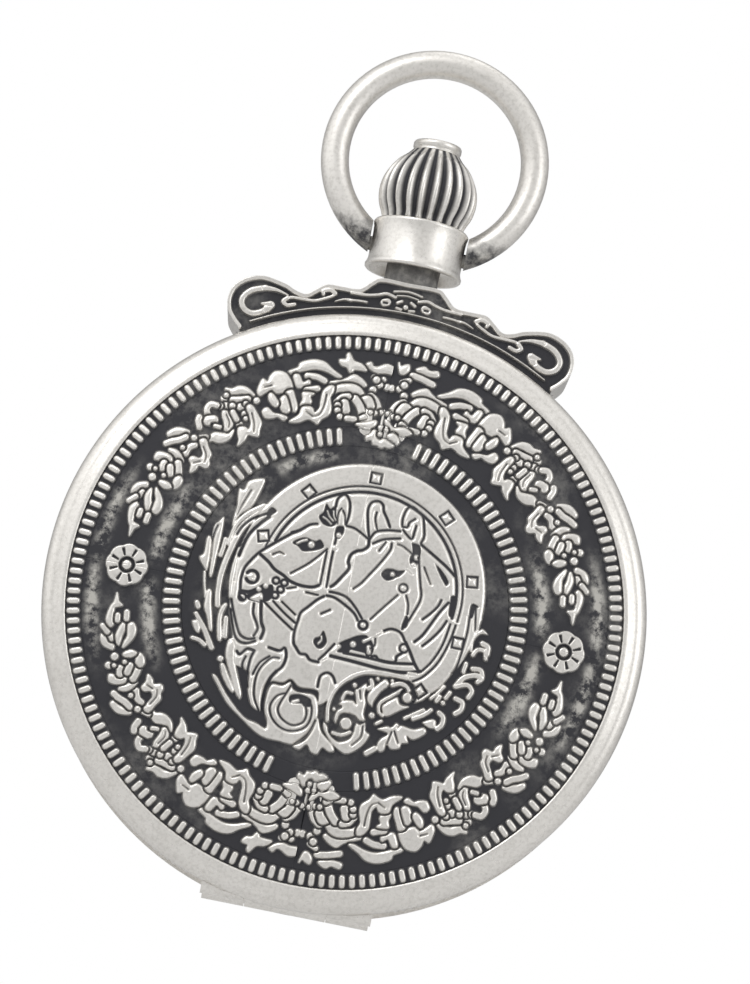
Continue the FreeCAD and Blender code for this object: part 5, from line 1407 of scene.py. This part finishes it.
def flat_ring(name, inner, outer, face, centre, steps):
    """Thin painted ring on the dial."""
    profile = [(inner, face), (outer, face), (outer, face - PAINT), (inner, face - PAINT)]
    vertices, faces = [], []
    for row, a in enumerate(np.linspace(0, 2 * math.pi, steps, endpoint=False)):
        vertices += [(centre[0] + r * math.cos(a), y, centre[1] + r * math.sin(a)) for r, y in profile]
        here, after = 4 * row, 4 * ((row + 1) % steps)
        faces += [[here + k, here + (k + 1) % 4, after + (k + 1) % 4, after + k] for k in range(4)]
    add_paint(name, vertices, faces)


def ticks(name, centre, marks, face):
    """Painted bars: marks are (angle, inner radius, outer radius, half width)."""
    vertices, faces = [], []
    for angle, inner, outer, half in marks:
        a = math.radians(angle)
        along, across = (math.sin(a), math.cos(a)), (math.cos(a), -math.sin(a))
        base = len(vertices)
        for y in (face, face - PAINT):
            for r, w in ((inner, -half), (inner, half), (outer, half), (outer, -half)):
                vertices.append((centre[0] + r * along[0] + w * across[0], y,
                                 centre[1] + r * along[1] + w * across[1]))
        faces += [[base, base + 3, base + 2, base + 1], [base + 4, base + 5, base + 6, base + 7]]
        faces += [[base + k, base + (k + 1) % 4, base + 4 + (k + 1) % 4, base + 4 + k] for k in range(4)]
    add_paint(name, vertices, faces)


def numeral(index, text, face):
    """One Roman numeral on the dial with its foot to the middle, narrower than the typeface."""
    angle = math.radians(30 * index)
    curve = bpy.data.curves.new(f"numeral_{index}", "FONT")
    curve.body = text
    curve.size = NUMERAL_SIZE
    curve.extrude = 0.015
    curve.align_x, curve.align_y = "CENTER", "CENTER"
    letters = add_object(f"letters_{index}", curve)
    bpy.context.view_layer.update()
    mesh = bpy.data.meshes.new_from_object(letters.evaluated_get(bpy.context.evaluated_depsgraph_get()))
    bpy.data.objects.remove(letters)
    points = np.array([v.co for v in mesh.vertices])
    points[:, 0] = (points[:, 0] - points[:, 0].mean()) * 0.62
    points[:, 1] *= 0.85
    right, up = (math.cos(angle), -math.sin(angle)), (math.sin(angle), math.cos(angle))
    x = NUMERAL_RADIUS * up[0] + points[:, 0] * right[0] + points[:, 1] * up[0]
    z = NUMERAL_RADIUS * up[1] + points[:, 0] * right[1] + points[:, 1] * up[1]
    vertices = np.stack([x, face - 0.012 - points[:, 2], z], -1)
    add_paint(f"numeral_{index or 12}", vertices, [list(p.vertices) for p in mesh.polygons])


def dial_pieces():
    """Numerals, except the VI under the small seconds, and both railway tracks with their marks."""
    face = dial_low[1]
    for i, text in enumerate(NUMERALS):
        if text != "VI":
            numeral(i, text, face)
    minute_marks = [(6 * m, 18.0, 18.6, 0.12 if m % 5 == 0 else 0.045) for m in range(60)]
    seconds_marks = [
        (6 * s, 3.5 if s % 15 == 0 else 4.08, 4.6, 0.06 if s % 5 == 0 else 0.03) for s in range(60)
    ]
    for name, centre, outer, inner, marks, steps in (
        ("minute", (0, 0), (18.55, 18.65), (17.95, 18.05), minute_marks, 180),
        ("seconds", SECONDS_CENTRE, (4.55, 4.63), (4.05, 4.12), seconds_marks, 120),
    ):
        flat_ring(f"{name}_rail_outer", *outer, face, centre, steps)
        flat_ring(f"{name}_rail_inner", *inner, face, centre, steps)
        ticks(f"{name}_marks", centre, marks, face)


# ---- room, light and camera ----------------------------------------------------------------------


def add_floor():
    material, _ = new_material("pale_floor")
    finished(material, {"Base Color": (0.74, 0.74, 0.74, 1), "Roughness": 0.9})
    size, level = 1.0, -0.11
    corners = [(x * size, y * size, level) for x, y in ((-1, -1), (1, -1), (1, 1), (-1, 1))]
    mesh = bpy.data.meshes.new("floor")
    mesh.from_pydata(corners, [], [(0, 1, 2, 3)])
    mesh.materials.append(material)
    add_object("floor", mesh)


def add_world():
    """White backdrop to the eye; to the metal, a studio that is darker below, behind and straight ahead.

    The camera looks along +Y, so the light that the watch's face mirrors comes from -Y."""
    world = bpy.data.worlds.new("studio")
    bpy.context.scene.world = world
    world.use_nodes = True
    tree = world.node_tree
    parts = add_node(tree, "SeparateXYZ", {"Vector": coordinates(tree, "Generated")})
    ahead = spread(tree, parts.outputs["Y"], 0.70, 0.98, -1.0, -0.6)
    behind = spread(tree, parts.outputs["Y"], 1.0, 0.4, -0.3, 0.7)
    above = spread(tree, parts.outputs["Z"], 0.7, 0.95, -0.8, 0.3)
    left = spread(tree, parts.outputs["X"], 1.3, 1.0, -0.95, -0.3)
    studio = multiply(tree, multiply(tree, ahead, behind), multiply(tree, above, left))
    seen = add_node(tree, "LightPath", {}).outputs["Is Camera Ray"]
    feed(tree, tree.nodes["Background"], {"Color": (1, 1, 1, 1), "Strength": spread(tree, seen, studio, 1.0)})


LAMP_AIM = (0, 0, 0.01)
LAMP_WIDTH = 0.4


def add_light(name, place, power):
    """Soft round lamp; places and sizes are in metres."""
    light = bpy.data.lights.new(name, "AREA")
    light.shape = "DISK"
    light.size = LAMP_WIDTH
    light.energy = power
    lamp = add_object(name, light)
    lamp.location = place
    lamp.rotation_euler = (Vector(LAMP_AIM) - Vector(place)).to_track_quat("-Z", "Y").to_euler()


# The point in the middle of the picture, the distance in metres, and in degrees how far the camera
# stands towards 6 o'clock and how far the crown leans to the right in the picture.
CAMERA_TARGET = Vector((0.52, -13.0, 10.0)) * MM
CAMERA_DISTANCE = 0.325
CAMERA_BELOW = 9.0
WATCH_TILT = 11.2


def add_camera():
    camera = bpy.data.cameras.new("camera")
    camera.sensor_width = 36.0
    camera.lens = 144.0
    camera.clip_start = 0.01
    viewer = add_object("camera", camera)
    below, tilt = math.radians(CAMERA_BELOW), math.radians(WATCH_TILT)
    back = Vector((0, -math.cos(below), -math.sin(below)))
    up = Vector((-math.sin(tilt), 0, math.cos(tilt)))
    right = up.cross(back).normalized()
    up = back.cross(right).normalized()
    turn = Matrix((right, up, back)).transposed().to_4x4()
    viewer.matrix_world = Matrix.Translation(CAMERA_TARGET + back * CAMERA_DISTANCE) @ turn
    bpy.context.scene.camera = viewer


finish_cad_nodes()
front_bands()
front_garlands()
front_medallion()
back_bands()
band_knurl()
pendant_pieces()
crown_pieces()
ornament_pieces()
dial_pieces()
add_floor()
add_world()
add_light("key", (-0.3, -0.5, 0.45), 0.9)
add_light("fill", (0.5, -0.4, 0.15), 0.4)
add_light("top", (0.05, 0.1, 0.6), 0.3)
add_camera()
bpy.context.scene.view_settings.view_transform = "Standard"
